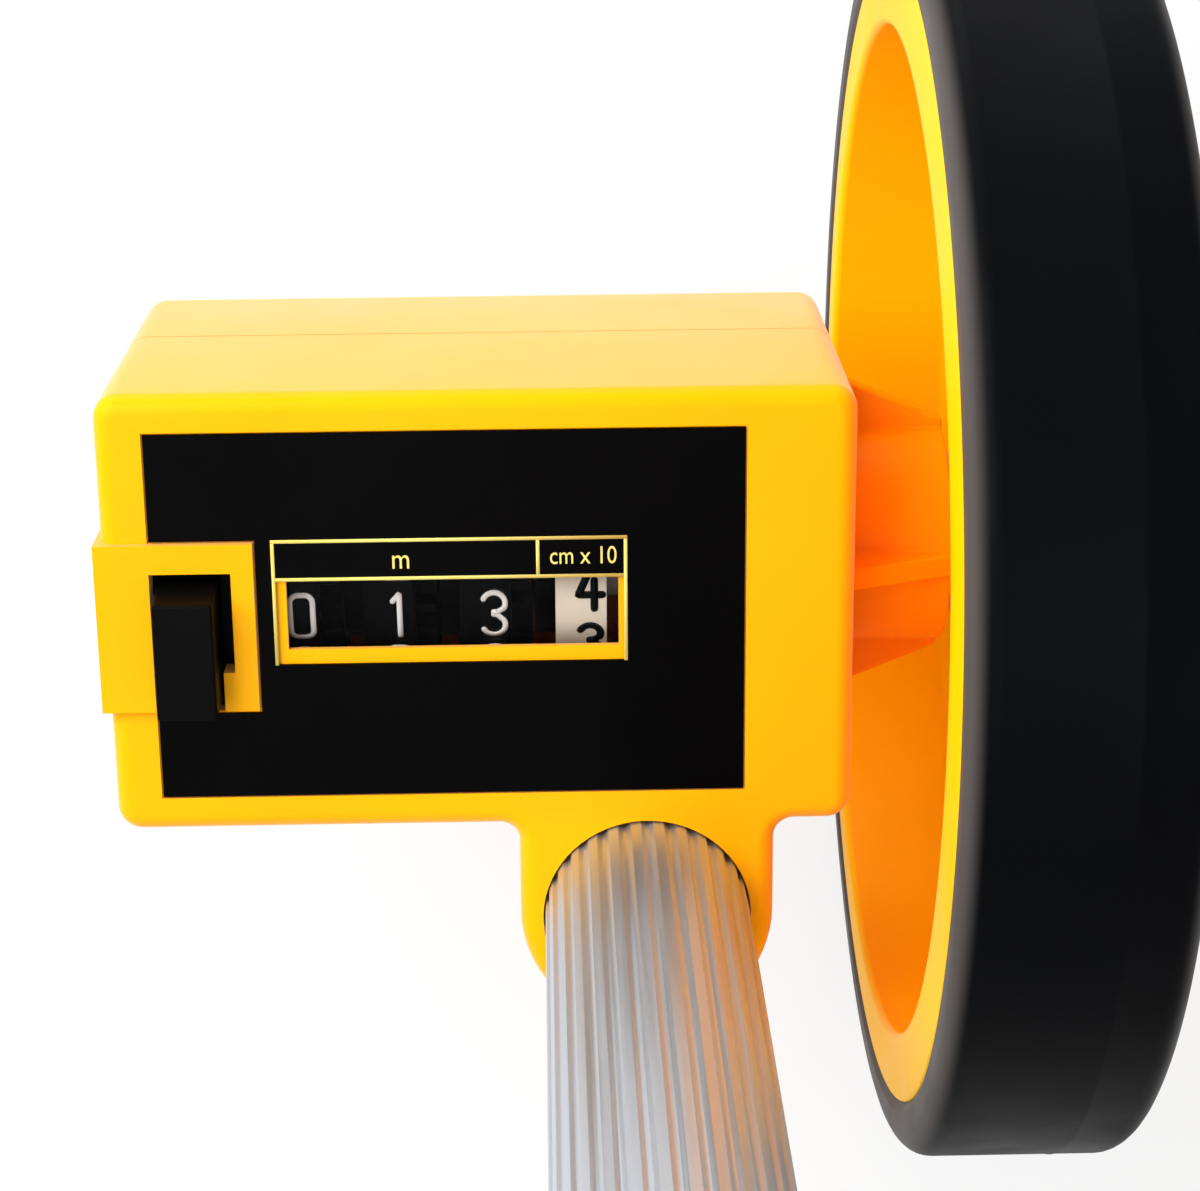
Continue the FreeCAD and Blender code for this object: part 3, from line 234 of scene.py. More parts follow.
# %% Build the shared effects
def effect(name, inputs, outputs):
    """A shader node group with named sockets, and its two ends."""
    tree = bpy.data.node_groups.new(name, "ShaderNodeTree")
    for label, kind, default in inputs:
        socket = tree.interface.new_socket(name=label, in_out="INPUT", socket_type=kind)
        socket.default_value = default
    for label, kind in outputs:
        tree.interface.new_socket(name=label, in_out="OUTPUT", socket_type=kind)
    start = tree.nodes.new("NodeGroupInput")
    end = tree.nodes.new("NodeGroupOutput")
    return tree, start, end


def add_node(tree, kind, values=(), **settings):
    """A node with some of its sockets and settings filled in."""
    node = tree.nodes.new(kind)
    for key, setting in settings.items():
        setattr(node, key, setting)
    for key, number in dict(values).items():
        node.inputs[key].default_value = number
    return node


def wire(tree, *pairs):
    """Links between sockets, each pair from its source to its target."""
    for source, target in pairs:
        tree.links.new(source, target)


WHITE = (1, 1, 1, 1)
SURFACE = [("Colour", "NodeSocketColor"), ("Roughness", "NodeSocketFloat"),
           ("Height", "NodeSocketFloat")]


def build_moulded():
    """Clouds in the colour, grain in the height: both are noise, one broad and one fine."""
    tree, start, end = effect(
        "moulded",
        [("Vector", "NodeSocketVector", (0, 0, 0)), ("Colour", "NodeSocketColor", WHITE),
         ("Second colour", "NodeSocketColor", WHITE), ("Grain", "NodeSocketFloat", 900.0),
         ("Roughness", "NodeSocketFloat", 0.4)], SURFACE)
    clouds = add_node(tree, "ShaderNodeTexNoise", {"Scale": 22.0, "Detail": 3.0, "Roughness": 0.5})
    grain = add_node(tree, "ShaderNodeTexNoise", {"Detail": 2.0})
    smear = add_node(tree, "ShaderNodeTexNoise", {"Scale": 70.0, "Detail": 4.0})
    mix = add_node(tree, "ShaderNodeMix", data_type="RGBA")
    contrast = add_node(tree, "ShaderNodeMapRange",
                        {"From Min": 0.35, "From Max": 0.68, "To Min": 0.0, "To Max": 1.0})
    spread = add_node(tree, "ShaderNodeMapRange",
                      {"From Min": 0.3, "From Max": 0.7, "To Min": -0.06, "To Max": 0.06})
    total = add_node(tree, "ShaderNodeMath", operation="ADD", use_clamp=True)
    wire(tree, (start.outputs["Vector"], clouds.inputs["Vector"]),
         (start.outputs["Vector"], grain.inputs["Vector"]),
         (start.outputs["Vector"], smear.inputs["Vector"]),
         (start.outputs["Grain"], grain.inputs["Scale"]),
         (clouds.outputs["Fac"], contrast.inputs["Value"]),
         (contrast.outputs["Result"], mix.inputs["Factor"]),
         (start.outputs["Colour"], mix.inputs["A"]),
         (start.outputs["Second colour"], mix.inputs["B"]),
         (mix.outputs["Result"], end.inputs["Colour"]),
         (smear.outputs["Fac"], spread.inputs["Value"]),
         (start.outputs["Roughness"], total.inputs[0]),
         (spread.outputs["Result"], total.inputs[1]),
         (total.outputs["Value"], end.inputs["Roughness"]),
         (grain.outputs["Fac"], end.inputs["Height"]))
    return tree


def build_drawn():
    """Fine lines along one direction: noise on coordinates squeezed across that direction."""
    tree, start, end = effect(
        "drawn",
        [("Vector", "NodeSocketVector", (0, 0, 0)), ("Squeeze", "NodeSocketVector", (1, 1, 1)),
         ("Colour", "NodeSocketColor", WHITE), ("Second colour", "NodeSocketColor", WHITE),
         ("Roughness", "NodeSocketFloat", 0.3)], SURFACE)
    stretch = add_node(tree, "ShaderNodeVectorMath", operation="MULTIPLY")
    lines = add_node(tree, "ShaderNodeTexNoise", {"Scale": 1.0, "Detail": 4.0, "Roughness": 0.6})
    mix = add_node(tree, "ShaderNodeMix", data_type="RGBA")
    spread = add_node(tree, "ShaderNodeMapRange",
                      {"From Min": 0.3, "From Max": 0.7, "To Min": -0.08, "To Max": 0.08})
    total = add_node(tree, "ShaderNodeMath", operation="ADD", use_clamp=True)
    wire(tree, (start.outputs["Vector"], stretch.inputs[0]),
         (start.outputs["Squeeze"], stretch.inputs[1]),
         (stretch.outputs["Vector"], lines.inputs["Vector"]),
         (lines.outputs["Fac"], mix.inputs["Factor"]),
         (start.outputs["Colour"], mix.inputs["A"]),
         (start.outputs["Second colour"], mix.inputs["B"]),
         (mix.outputs["Result"], end.inputs["Colour"]),
         (lines.outputs["Fac"], spread.inputs["Value"]),
         (start.outputs["Roughness"], total.inputs[0]),
         (spread.outputs["Result"], total.inputs[1]),
         (total.outputs["Value"], end.inputs["Roughness"]),
         (lines.outputs["Fac"], end.inputs["Height"]))
    return tree


MOULDED = build_moulded()
DRAWN = build_drawn()
print("effects:", MOULDED.name, DRAWN.name)

# %% [markdown]
# ## Finishes
# A finish is a Principled surface fed by one effect. Colours are written as they look on a
# screen and turned into light values by one function. The yellow is a dense ABS. Its mirror
# shine is weak, and on the housing a soft sheen washes the faces that are seen at a low angle.


# %% Helpers that make finishes
def light(red, green, blue):
    """Screen colour, 0 to 255, as the linear light that a shader works with."""
    level = np.array([red, green, blue]) / 255
    linear = np.where(level <= 0.04045, level / 12.92, ((level + 0.055) / 1.055) ** 2.4)
    return (*linear.tolist(), 1.0)


def start_finish(name, place):
    """A material with its Principled shader, its tree and a vector in a place's own axes."""
    material = bpy.data.materials.new(name)
    material.use_nodes = True
    tree = material.node_tree
    shader = tree.nodes["Principled BSDF"]
    coordinates = tree.nodes.new("ShaderNodeTexCoord")
    upright_again = add_node(tree, "ShaderNodeMapping", vector_type="TEXTURE")
    upright_again.inputs["Location"].default_value = place.to_translation()
    upright_again.inputs["Rotation"].default_value = place.to_euler()
    wire(tree, (coordinates.outputs["Object"], upright_again.inputs["Vector"]))
    return material, tree, shader, upright_again.outputs["Vector"]


def add_bump(tree, shader, height, distance):
    """Relief from a height between 0 and 1; distance is its depth in millimetres."""
    bump = add_node(tree, "ShaderNodeBump", {"Strength": 1.0, "Distance": distance * MM})
    wire(tree, (height, bump.inputs["Height"]), (bump.outputs["Normal"], shader.inputs["Normal"]))


def apply_effect(tree, shader, vector, group, values, depth):
    """Place an effect in a finish, set its values and join it to the shader."""
    skin = add_node(tree, "ShaderNodeGroup", values, node_tree=group)
    wire(tree, (vector, skin.inputs["Vector"]),
         (skin.outputs["Colour"], shader.inputs["Base Color"]),
         (skin.outputs["Roughness"], shader.inputs["Roughness"]))
    add_bump(tree, shader, skin.outputs["Height"], depth)


def moulded_finish(name, colour, second, roughness, specular=0.5, grain=900.0, depth=0.01,
                   place=HOUSING, sheen=0.0):
    """Plastic or rubber: clouds in its colour, grain in its surface, depth in millimetres."""
    material, tree, shader, vector = start_finish(name, place)
    values = {"Colour": light(*colour), "Second colour": light(*second), "Grain": grain,
              "Roughness": roughness}
    apply_effect(tree, shader, vector, MOULDED, values, depth)
    shader.inputs["Specular IOR Level"].default_value = specular
    if sheen:
        shader.inputs["Sheen Weight"].default_value = sheen
        shader.inputs["Sheen Roughness"].default_value = 0.35
    return material


def metal_finish(name, colour, second, roughness, squeeze):
    """Bare metal with fine lines; squeeze sets how tight they lie along each axis, per metre."""
    material, tree, shader, vector = start_finish(name, HOUSING)
    shader.inputs["Metallic"].default_value = 1.0
    values = {"Squeeze": squeeze, "Colour": light(*colour), "Second colour": light(*second),
              "Roughness": roughness}
    apply_effect(tree, shader, vector, DRAWN, values, depth=0.004)
    return material


# %% Make the finishes
yellow_shell = moulded_finish("yellow_shell", (255, 178, 0), (252, 172, 0), 0.34, 0.05, sheen=0.55)
yellow_wheel = moulded_finish("yellow_wheel", (255, 182, 0), (252, 174, 0), 0.36, 0.05, place=WHEEL)
# A lighter copy of the wheel's yellow for the ring's faces: a painted highlight.
ring_painted_light = moulded_finish("ring_painted_light", (255, 196, 3), (252, 189, 2), 0.42, 0.04, place=WHEEL)
# A deeper orange copy of the housing's yellow for the axle carrier: painted shade from the wheel.
carrier_painted_shade = moulded_finish("carrier_painted_shade", (255, 150, 0), (252, 140, 0), 0.36, 0.06)
seam_shadow = moulded_finish("seam_shadow", (214, 156, 30), (200, 144, 20), 0.6, 0.06)
tyre_rubber = moulded_finish("tyre_rubber", (4, 5, 7), (3, 3, 5), 0.42, 0.03, grain=600.0,
                             depth=0.02, place=WHEEL)
face_film = moulded_finish("face_film", (3, 2, 2), (2, 2, 2), 0.34, 0.02, grain=500.0, depth=0.004)
black_plastic = moulded_finish("black_plastic", (6, 5, 5), (4, 4, 4), 0.42, 0.03, grain=1400.0,
                               depth=0.02)
drum_black = moulded_finish("drum_black", (3, 3, 4), (2, 2, 3), 0.5, 0.015)
drum_white = moulded_finish("drum_white", (208, 198, 182), (194, 184, 168), 0.45, 0.1)
gear_nylon = moulded_finish("gear_nylon", (232, 226, 206), (222, 214, 190), 0.4)
grip_rubber = moulded_finish("grip_rubber", (26, 26, 28), (17, 17, 19), 0.62, grain=1100.0,
                             depth=0.05)
white_paint = moulded_finish("white_paint", (212, 210, 208), (194, 192, 190), 0.5, 0.1)
black_paint = moulded_finish("black_paint", (10, 10, 12), (6, 6, 8), 0.5, 0.03)
print_yellow = moulded_finish("print_yellow", (232, 214, 120), (220, 198, 96), 0.5, 0.1)
tube_aluminium = metal_finish("tube_aluminium", (206, 212, 220), (182, 189, 198), 0.5,
                              (900, 14, 900))
bright_steel = metal_finish("bright_steel", (206, 206, 208), (176, 176, 180), 0.24, (1600, 90, 90))
zinc_steel = metal_finish("zinc_steel", (196, 200, 205), (160, 166, 176), 0.34, (260, 260, 260))
pressed_steel = metal_finish("pressed_steel", (176, 178, 182), (150, 152, 158), 0.4,
                             (60, 900, 900))
bush_brass = metal_finish("bush_brass", (206, 168, 92), (178, 138, 66), 0.3, (1500, 80, 80))


def clear_finish():
    """Clear acrylic: it lets light through to the drums, and still shines at a low angle."""
    material, tree, shader, vector = start_finish("clear_window", HOUSING)
    shader.inputs["Base Color"].default_value = light(244, 248, 248)
    shader.inputs["Roughness"].default_value = 0.06
    shader.inputs["IOR"].default_value = 1.49
    shader.inputs["Transmission Weight"].default_value = 1.0
    shader.inputs["Alpha"].default_value = 0.015
    hairline = add_node(tree, "ShaderNodeTexNoise", {"Scale": 420.0, "Detail": 2.0})
    wire(tree, (vector, hairline.inputs["Vector"]))
    add_bump(tree, shader, hairline.outputs["Fac"], 0.002)
    return material


clear_window = clear_finish()
finish_of = {"yellow_shell": yellow_shell, "yellow_wheel": yellow_wheel, "tyre_rubber": tyre_rubber,
             "face_film": face_film, "clear_window": clear_window, "black_plastic": black_plastic,
             "drum_black": drum_black, "drum_white": drum_white, "gear_nylon": gear_nylon,
             "tube_aluminium": tube_aluminium, "bright_steel": bright_steel,
             "zinc_steel": zinc_steel, "pressed_steel": pressed_steel, "bush_brass": bush_brass,
             "grip_rubber": grip_rubber}
print(len(finish_of), "finishes, one for each slot of the record")

# %% [markdown]
# ## The tyre and the rim
# The tyre is a solid ring of black rubber pressed into the rim's channel. Its sides lie level with
# the rim's yellow ring, its shoulders are rounded, and the tread carries one faint line where the
# two halves of the mould met. The sides are painted pale, part dust and part painted sheen, and
# the paint fades out towards the tread. The rim is a ring and a hub joined by a thin web. A turned
# outline gives each of them at once, and six ribs stiffen the web. The two faces of the ring are
# painted a lighter yellow than the rest of the rim: a painted highlight where the light falls.

# %% Turn the tyre and the rim
half_width, tread_radius = local_box("tyre", WHEEL)[1][:2]
ring_face, flange_radius = local_box("wheel_rim", WHEEL)[1][:2]
tyre_height = 11.5
foot_inset = 0.6
foot_height = 1.2
shoulder = 3.4
line_at = 4.6
line_half = 0.3
line_height = 0.08
dust_and_sheen_reach = 2.2
ring_fall = 0.4
ring_breadth = 8.6
channel_wall = 2.5
web_depth = 6.6
web_thickness = 3
hub_length = 11
hub_radius = 11.5
bore_radius = 4.0

seat_radius = tread_radius - tyre_height
ring_edge = ring_face - ring_fall
ring_inner = flange_radius - ring_breadth
channel_half = ring_face - channel_wall
web_right = ring_face - web_depth
web_left = web_right - web_thickness
hub_left = web_right - hub_length


def tyre_outline():
    """Up one side, across the tread with its mould line, down the other side, and the seat."""
    tread = tread_radius - line_height
    side = [(-half_width + foot_inset, flange_radius, 0.0),
            (-half_width, flange_radius + foot_height, 0.5), (-half_width, tread, shoulder)]
    mould = [(line_at - line_half, tread, 0.0), (line_at, tread_radius, 0.0),
             (line_at + line_half, tread, 0.0)]
    other = [(-x, r, radius) for x, r, radius in reversed(side)]
    seat = [(channel_half, flange_radius, 0.0), (channel_half, seat_radius, 0.0),
            (-channel_half, seat_radius, 0.0), (-channel_half, flange_radius, 0.0)]
    return rounded(side + mould + other + seat, steps=8)


def rim_outline():
    """The ring with its channel, the web and the hub, as one closed section."""
    return rounded([
        (-ring_face, ring_inner, 0.9), (-ring_edge, flange_radius, 0.5),
        (-channel_half, flange_radius, 0.0), (-channel_half, seat_radius, 0.0),
        (channel_half, seat_radius, 0.0), (channel_half, flange_radius, 0.0),
        (ring_edge, flange_radius, 0.5), (ring_face, ring_inner, 0.9),
        (web_right, ring_inner, 1.2), (web_right, bore_radius, 0.0), (hub_left, bore_radius, 0.0),
        (hub_left, hub_radius, 0.6), (web_left, hub_radius, 1.2), (web_left, ring_inner, 1.6)])


def draw_ribs(count=6, thick=2.4, height=2.0, start=12.5, sunk=0.2):
    """Upright blocks on the web; block k is turned about the axle by k/count of a turn."""
    corner = np.array([(x, y, z) for x in (web_right - sunk, web_right + height)
                       for y in (-thick / 2, thick / 2) for z in (start, ring_inner + sunk)])
    block = np.array([(0, 1, 3, 2), (4, 6, 7, 5), (0, 4, 5, 1),
                      (2, 3, 7, 6), (0, 2, 6, 4), (1, 5, 7, 3)])
    turn = 2 * np.pi * np.arange(count)[:, None] / count
    x, y, z = corner.T
    points = np.stack([x + 0 * turn, y * np.cos(turn) - z * np.sin(turn),
                       y * np.sin(turn) + z * np.cos(turn)], -1)
    faces = block[None] + 8 * np.arange(count)[:, None, None]
    return new_piece("rim_ribs", points.reshape(-1, 3), faces.reshape(-1, 4), WHEEL)


def add_dust_and_sheen(material, start, full, colour):
    """Dust and painted sheen over a finish: their share rises smoothly from 0 to 1 as |x| goes from start to full.
    """
    tree = material.node_tree
    skin = tree.nodes["Principled BSDF"].inputs["Base Color"].links[0].from_socket
    vector = skin.node.inputs["Vector"].links[0].from_socket
    axes = add_node(tree, "ShaderNodeSeparateXYZ")
    outward = add_node(tree, "ShaderNodeMath", operation="ABSOLUTE")
    share = add_node(tree, "ShaderNodeMapRange", {"From Min": start * MM, "From Max": full * MM},
                     interpolation_type="SMOOTHSTEP")
    mix = add_node(tree, "ShaderNodeMix", {"B": colour}, data_type="RGBA")
    wire(tree, (vector, axes.inputs["Vector"]), (axes.outputs["X"], outward.inputs[0]),
         (outward.outputs["Value"], share.inputs["Value"]),
         (share.outputs["Result"], mix.inputs["Factor"]), (skin, mix.inputs["A"]),
         (mix.outputs["Result"], tree.nodes["Principled BSDF"].inputs["Base Color"]))


def repaint(piece, place, chosen, material):
    """A second finish on the faces whose middle (x, y, z), in a place's own axes, is chosen."""
    mesh = piece.data
    middle = np.empty(len(mesh.polygons) * 3)
    mesh.polygons.foreach_get("center", middle)
    inverse = np.array(place.inverted())
    x, y, z = (middle.reshape(-1, 3) @ inverse[:3, :3].T + inverse[:3, 3]).T / MM
    mesh.materials.append(material)
    mesh.polygons.foreach_set("material_index", chosen(x, y, z).astype(np.int32))


def is_ring_face(x, y, z, margin=0.5):
    """True where |x| comes within the margin of the ring's edge, inside the flange's radius."""
    return (np.abs(x) > ring_edge - margin) & (np.hypot(y, z) < flange_radius)


# Dust and painted sheen: the tyre's sides are painted pale grey, fading out towards the tread.
add_dust_and_sheen(tyre_rubber, half_width - dust_and_sheen_reach, half_width, light(80, 75, 73))
tyre = turned("tyre_ring", tyre_outline(), WHEEL, segments=288)
sharpen(tyre, 40)
settle(tyre, "tyre", tyre_rubber)
rim = turned("rim_ring", rim_outline(), WHEEL, segments=288)
sharpen(rim, 50)
settle(rim, "wheel_rim", yellow_wheel)
# Painted light: the ring's two faces are painted a lighter yellow than the rest of the rim.
repaint(rim, WHEEL, is_ring_face, ring_painted_light)
ribs = draw_ribs()
sharpen(ribs, 30)
ease_edges(ribs, 0.4)
settle(ribs, "wheel_rim", yellow_wheel, replaces=False)
print("tyre:", len(tyre.data.polygons), "faces; rim:", len(rim.data.polygons), "faces")

# %% [markdown]
# ## The fluted tube
# The handle's outer tube is drawn aluminium with shallow flutes all the way along. Its section is
# a circle with the same dip repeated, so the radius is a function of the angle alone, and the
# surface is that section carried along the tube.

# %% Draw the tube
FLUTES = 28
POINTS_PER_FLUTE = 14
flute_round = 0.8
flute_depth = 0.45
tube_wall = 1.5
tube_radius = tube_across / 2
tube_bore = tube_radius - tube_wall
tube_start = -tube_high[1]
tube_end = -tube_low[1]


def fluted_radius(angle):
    """The circle's radius, less a round-bottomed dip near every flute's middle."""
    pitch = 2 * np.pi / FLUTES
    offset = (angle + pitch / 2) % pitch - pitch / 2
    sideways = tube_radius * offset
    centre = tube_radius + flute_round - flute_depth
    inside = np.clip(flute_round ** 2 - sideways ** 2, 0, None)
    return np.minimum(tube_radius, centre - np.sqrt(inside))


def draw_tube():
    """The fluted section outside, the round bore inside, joined across both ends."""
    angle = np.linspace(0, 2 * np.pi, FLUTES * POINTS_PER_FLUTE, endpoint=False)
    outer = fluted_radius(angle)
    bore = np.full_like(angle, tube_bore)
    edge = 0.3
    rings = [(tube_start, outer - edge), (tube_start + edge, outer), (tube_end - edge, outer),
             (tube_end, outer - edge), (tube_end, bore), (tube_start, bore)]
    points = [np.stack([np.full_like(angle, x), r * np.cos(angle), r * np.sin(angle)], -1)
              for x, r in rings]
    faces = grid_faces(len(rings), len(angle), close_rows=True, close_columns=True)
    return new_piece("fluted_tube", np.concatenate(points), faces, HANDLE)


fluted_tube = draw_tube()
sharpen(fluted_tube, 40)
settle(fluted_tube, "outer_tube", tube_aluminium)
print("tube:", round(float(tube_end - tube_start)), "mm long with", FLUTES, "flutes")

# %% [markdown]
# ## The grip
# A soft sleeve is pushed over the inner tube. Shallow rings keep the hand from slipping, and a
# raised collar stops it at the front. The radius is a function of the place along the sleeve.

# %% Turn the grip and its end plug
grip_start = local_box("handle_grip", HANDLE)[0][0]
grip_end, collar_radius = local_box("handle_grip", HANDLE)[1][:2]
plug_end, cap_radius = local_box("grip_end_plug", HANDLE)[1][:2]
grip_radius = 16.0
grip_bore = 11.0
collar_length = 7.0
plain_front = 4
plain_back = 6
ring_pitch = 5.0
ring_depth = 0.55
ring_share = 0.16
ring_fade = 3
stem_radius = 9.4
stem_length = 12


def grip_outline():
    """A collar, then a sleeve whose radius dips in even rings between two plain bands."""
    rings_from = grip_start + collar_length + plain_front
    collar = rounded([(grip_start, grip_bore, 0), (grip_start, collar_radius, 1.6),
                      (grip_start + collar_length - 2, collar_radius, 1.6),
                      (grip_start + collar_length, grip_radius, 0.8),
                      (rings_from, grip_radius, 0)])
    x = np.linspace(rings_from, grip_end - plain_back, 241)[1:]
    share = (x - x[0]) / ring_pitch % 1
    dip = np.exp(-((share - 0.5) / ring_share) ** 2)
    inside = np.clip((x - x[0]) / ring_fade, 0, 1) * np.clip((x[-1] - x) / ring_fade, 0, 1)
    sleeve = np.stack([x, grip_radius - ring_depth * dip * inside], -1)
    close = rounded([(grip_end - 5, grip_radius, 0), (grip_end, grip_radius, 1.2),
                     (grip_end, grip_bore, 0)])
    return np.concatenate([collar, sleeve, close])


def plug_outline():
    """A stem inside the sleeve and a domed cap behind it, open only at its middle line."""
    centre = 0.01
    return rounded([
        (grip_end - stem_length, centre, 0), (grip_end - stem_length, stem_radius, 0.6),
        (grip_end, stem_radius, 0), (grip_end, cap_radius, 0.4), (plug_end - 2, cap_radius, 2.4),
        (plug_end, cap_radius - 5, 3.0), (plug_end, centre, 0)])


grip = turned("grip_sleeve", grip_outline(), HANDLE, segments=128)
sharpen(grip, 50)
settle(grip, "handle_grip", grip_rubber)
end_plug = turned("grip_plug_cap", plug_outline(), HANDLE, segments=96, closed=False)
sharpen(end_plug, 50)
settle(end_plug, "grip_end_plug", black_plastic)
print("grip:", len(grip.data.polygons), "faces")

# %% [markdown]
# ## The number drums
# Each drum shows ten numerals. On such counters they are plain rounded strokes, as a stamp or a
# pen would make them, so each numeral is a few strokes: a line or an arc of an ellipse. A stroke
# becomes a ribbon whose width closes like a circle at both ends, wrapped round the drum.


# %% Strokes for the ten numerals
def line(start, end, steps=10):
    """Evenly spaced points from start to end."""
    share = np.linspace(0, 1, steps)[:, None]
    return np.array(start) * (1 - share) + np.array(end) * share


def arc(centre, size, first, last, steps=26):
    """Points of an ellipse's arc, from the first angle to the last, in degrees."""
    angle = np.radians(np.linspace(first, last, steps))
    return np.array(centre) + np.stack([np.cos(angle), np.sin(angle)], -1) * np.array(size)


def join(*runs):
    """One path from several that each start where the one before ends."""
    return np.concatenate([runs[0]] + [run[1:] for run in runs[1:]])


# half the width and half the height of a numeral whose height is one
W = 0.235
H = 0.5
CORNER = 0.17
NUMERALS = [
    [join(arc((W - CORNER, H - CORNER), (CORNER, CORNER), 90, 0),
          arc((W - CORNER, -H + CORNER), (CORNER, CORNER), 0, -90),
          arc((-W + CORNER, -H + CORNER), (CORNER, CORNER), -90, -180),
          arc((-W + CORNER, H - CORNER), (CORNER, CORNER), 180, 90),
          line((-W + CORNER, H), (W - CORNER, H)))],
    [join(line((-0.1, 0.34), (0.04, H)), line((0.04, H), (0.04, -H)))],
    [join(arc((0, H - W), (W, W), 165, 0), line((W, H - W), (W, 0.2)),
          line((W, 0.2), (-W, -H)), line((-W, -H), (W, -H)))],
    [join(arc((0, H - W), (W, W), 155, -30), arc((0, 0.02), (0.13, 0.05), 60, 90)),
     join(arc((0, -0.02), (0.13, 0.03), 90, 60), arc((0, -H + W + 0.01), (W, W + 0.01), 40, -155))],
    [join(line((0.05, H), (-W - 0.02, -0.17)), line((-W - 0.02, -0.17), (W + 0.04, -0.17))),
     line((0.1, 0.16), (0.1, -H))],
    [join(line((W, H), (-W + 0.03, H)), line((-W + 0.03, H), (-W, 0.08)),
          arc((0, -H + W + 0.03), (W, W + 0.03), 130, -150))],
    [join(line((0.12, H), (-0.13, 0.1)), arc((0, -H + W + 0.02), (W, W + 0.02), 150, -210))],
    [join(line((-W, H), (W, H)), line((W, H), (-0.05, -H)))],
    [arc((0, 0.25), (W - 0.02, 0.25), -90, 270, 44), arc((0, -0.25), (W, 0.25), 90, 450, 44)],
    [join(line((-0.12, -H), (0.13, -0.1)), arc((0, H - W - 0.02), (W, W + 0.02), -30, 330))],
]


def ribbon(path, half):
    """Left and right edges of a stroke, whose half width closes as a circle at each end."""
    step = np.diff(path, axis=0)
    length = np.concatenate([[0], np.cumsum(np.linalg.norm(step, axis=1))])
    total = length[-1]
    count = max(24, int(total / half * 5))
    ends = half * (1 - np.cos(np.linspace(0, np.pi / 2, 5)[:-1]))
    places = np.concatenate([ends, np.linspace(half, total - half, count), total - ends[::-1]])
    middle = np.stack([np.interp(places, length, path[:, axis]) for axis in (0, 1)], -1)
    along = np.gradient(middle, places, axis=0)
    along /= np.linalg.norm(along, axis=1)[:, None]
    normal = np.stack([-along[:, 1], along[:, 0]], -1)
    from_end = np.clip(np.minimum(places, total - places) / half, 0.02, 1)
    width = half * np.sqrt(1 - (1 - from_end) ** 2)
    return middle - normal * width[:, None], middle + normal * width[:, None]


def lengthen(path, extra):
    """Add a stroke's round ends, so that its middle line keeps its full height."""
    first = path[0] - path[1]
    last = path[-1] - path[-2]
    before = path[0] + first / np.linalg.norm(first) * extra
    after = path[-1] + last / np.linalg.norm(last) * extra
    return np.concatenate([before[None], path, after[None]])


# %% [markdown]
# The window shows 0, 1 and 3 whole metres, and the white drum stands a little past its 3. A
# drum's surface comes down past the window as the count rises, so the next numeral lies above.

# %% Stamp the numerals on the drums
drum_names = ["drum_tenths", "drum_units", "drum_tens", "drum_hundreds"]
drum_shows = [3.57, 3.0, 1.0, 0.0]
numeral_height = [6.4, 6.5, 6.5, 6.5]
stroke_width = [0.95, 0.66, 0.66, 0.66]
numeral_paint = [black_paint, white_paint, white_paint, white_paint]
reading_angle = -11.0
degrees_per_numeral = 36
paint_lift = 0.03
drum_low, drum_high = local_box("drum_tenths", COUNTER)
drum_radius = (drum_high[1] - drum_low[1]) / 2
band_left = 4.15
side_ring = 2.6


def digit_middle(order):
    """The left edge of a drum's number band, plus the digit's place on the band."""
    ring_beside = 0 if order == 3 else side_ring
    return local_box(drum_names[order], COUNTER)[0][0] + ring_beside + band_left


def stamp(order):
    """All ten numerals of one drum: (u, v) goes to x = middle + u and angle = start + v / r."""
    points = []
    faces = []
    total = 0
    height = numeral_height[order]
    radius = drum_radius + paint_lift
    half = stroke_width[order] / 2
    for number, strokes in enumerate(NUMERALS):
        steps = number - drum_shows[order]
        at = math.radians(reading_angle + steps * degrees_per_numeral)
        for stroke in strokes:
            left, right = ribbon(lengthen(stroke * (height - 2 * half), half), half)
            flat = np.stack([left, right], 1)
            turn = at + flat[..., 1] / radius
            x = digit_middle(order) + flat[..., 0]
            wrapped = np.stack([x, -radius * np.cos(turn), radius * np.sin(turn)], -1)
            points.append(wrapped.reshape(-1, 3))
            faces.append(grid_faces(len(left), 2, first=total))
            total += len(left) * 2
    name = drum_names[order].replace("drum", "numerals")
    piece = new_piece(name, np.concatenate(points), np.concatenate(faces), COUNTER)
    film = piece.modifiers.new("film", "SOLIDIFY")
    film.thickness = 0.04 * MM
    film.offset = 1
    return settle(piece, drum_names[order], numeral_paint[order], replaces=False)


for order in range(4):
    stamp(order)
print("numerals stamped; drum radius", round(float(drum_radius), 2))

# %% [markdown]
# ## The printed face
# The label is a black film. Round the window runs a thin pale line, with a heading strip for the
# units. Print is very thin, so each line is a flat strip raised a few hundredths of a millimetre.

# %% Print the window's lines and the unit marks
label_low, label_high = local_box("face_label", HOUSING)
print_lift = 0.03
print_front = label_low[1] - print_lift
print_thickness = 0.05
cut_left = right_side - 69.5
cut_right = right_side - 27.55
cut_top = 3.7
cut_bottom = -7.1
heading_top = 8.45
divider_at = right_side - 38.0
line_width = 0.42


def strips(name, boxes, material):
    """Flat strips on the label; each is (left, right, bottom, top)."""
    left, right, bottom, top = np.array(boxes).T
    corner_x = np.stack([left, right, right, left], 1)
    corner_y = np.full_like(corner_x, print_front)
    corner_z = np.stack([bottom, bottom, top, top], 1)
    points = np.stack([corner_x, corner_y, corner_z], -1).reshape(-1, 3)
    faces = np.arange(len(points)).reshape(-1, 4)
    piece = new_piece(name, points, faces, HOUSING)
    film = piece.modifiers.new("film", "SOLIDIFY")
    film.thickness = print_thickness * MM
    film.offset = -1
    return settle(piece, "face_label", material, replaces=False)


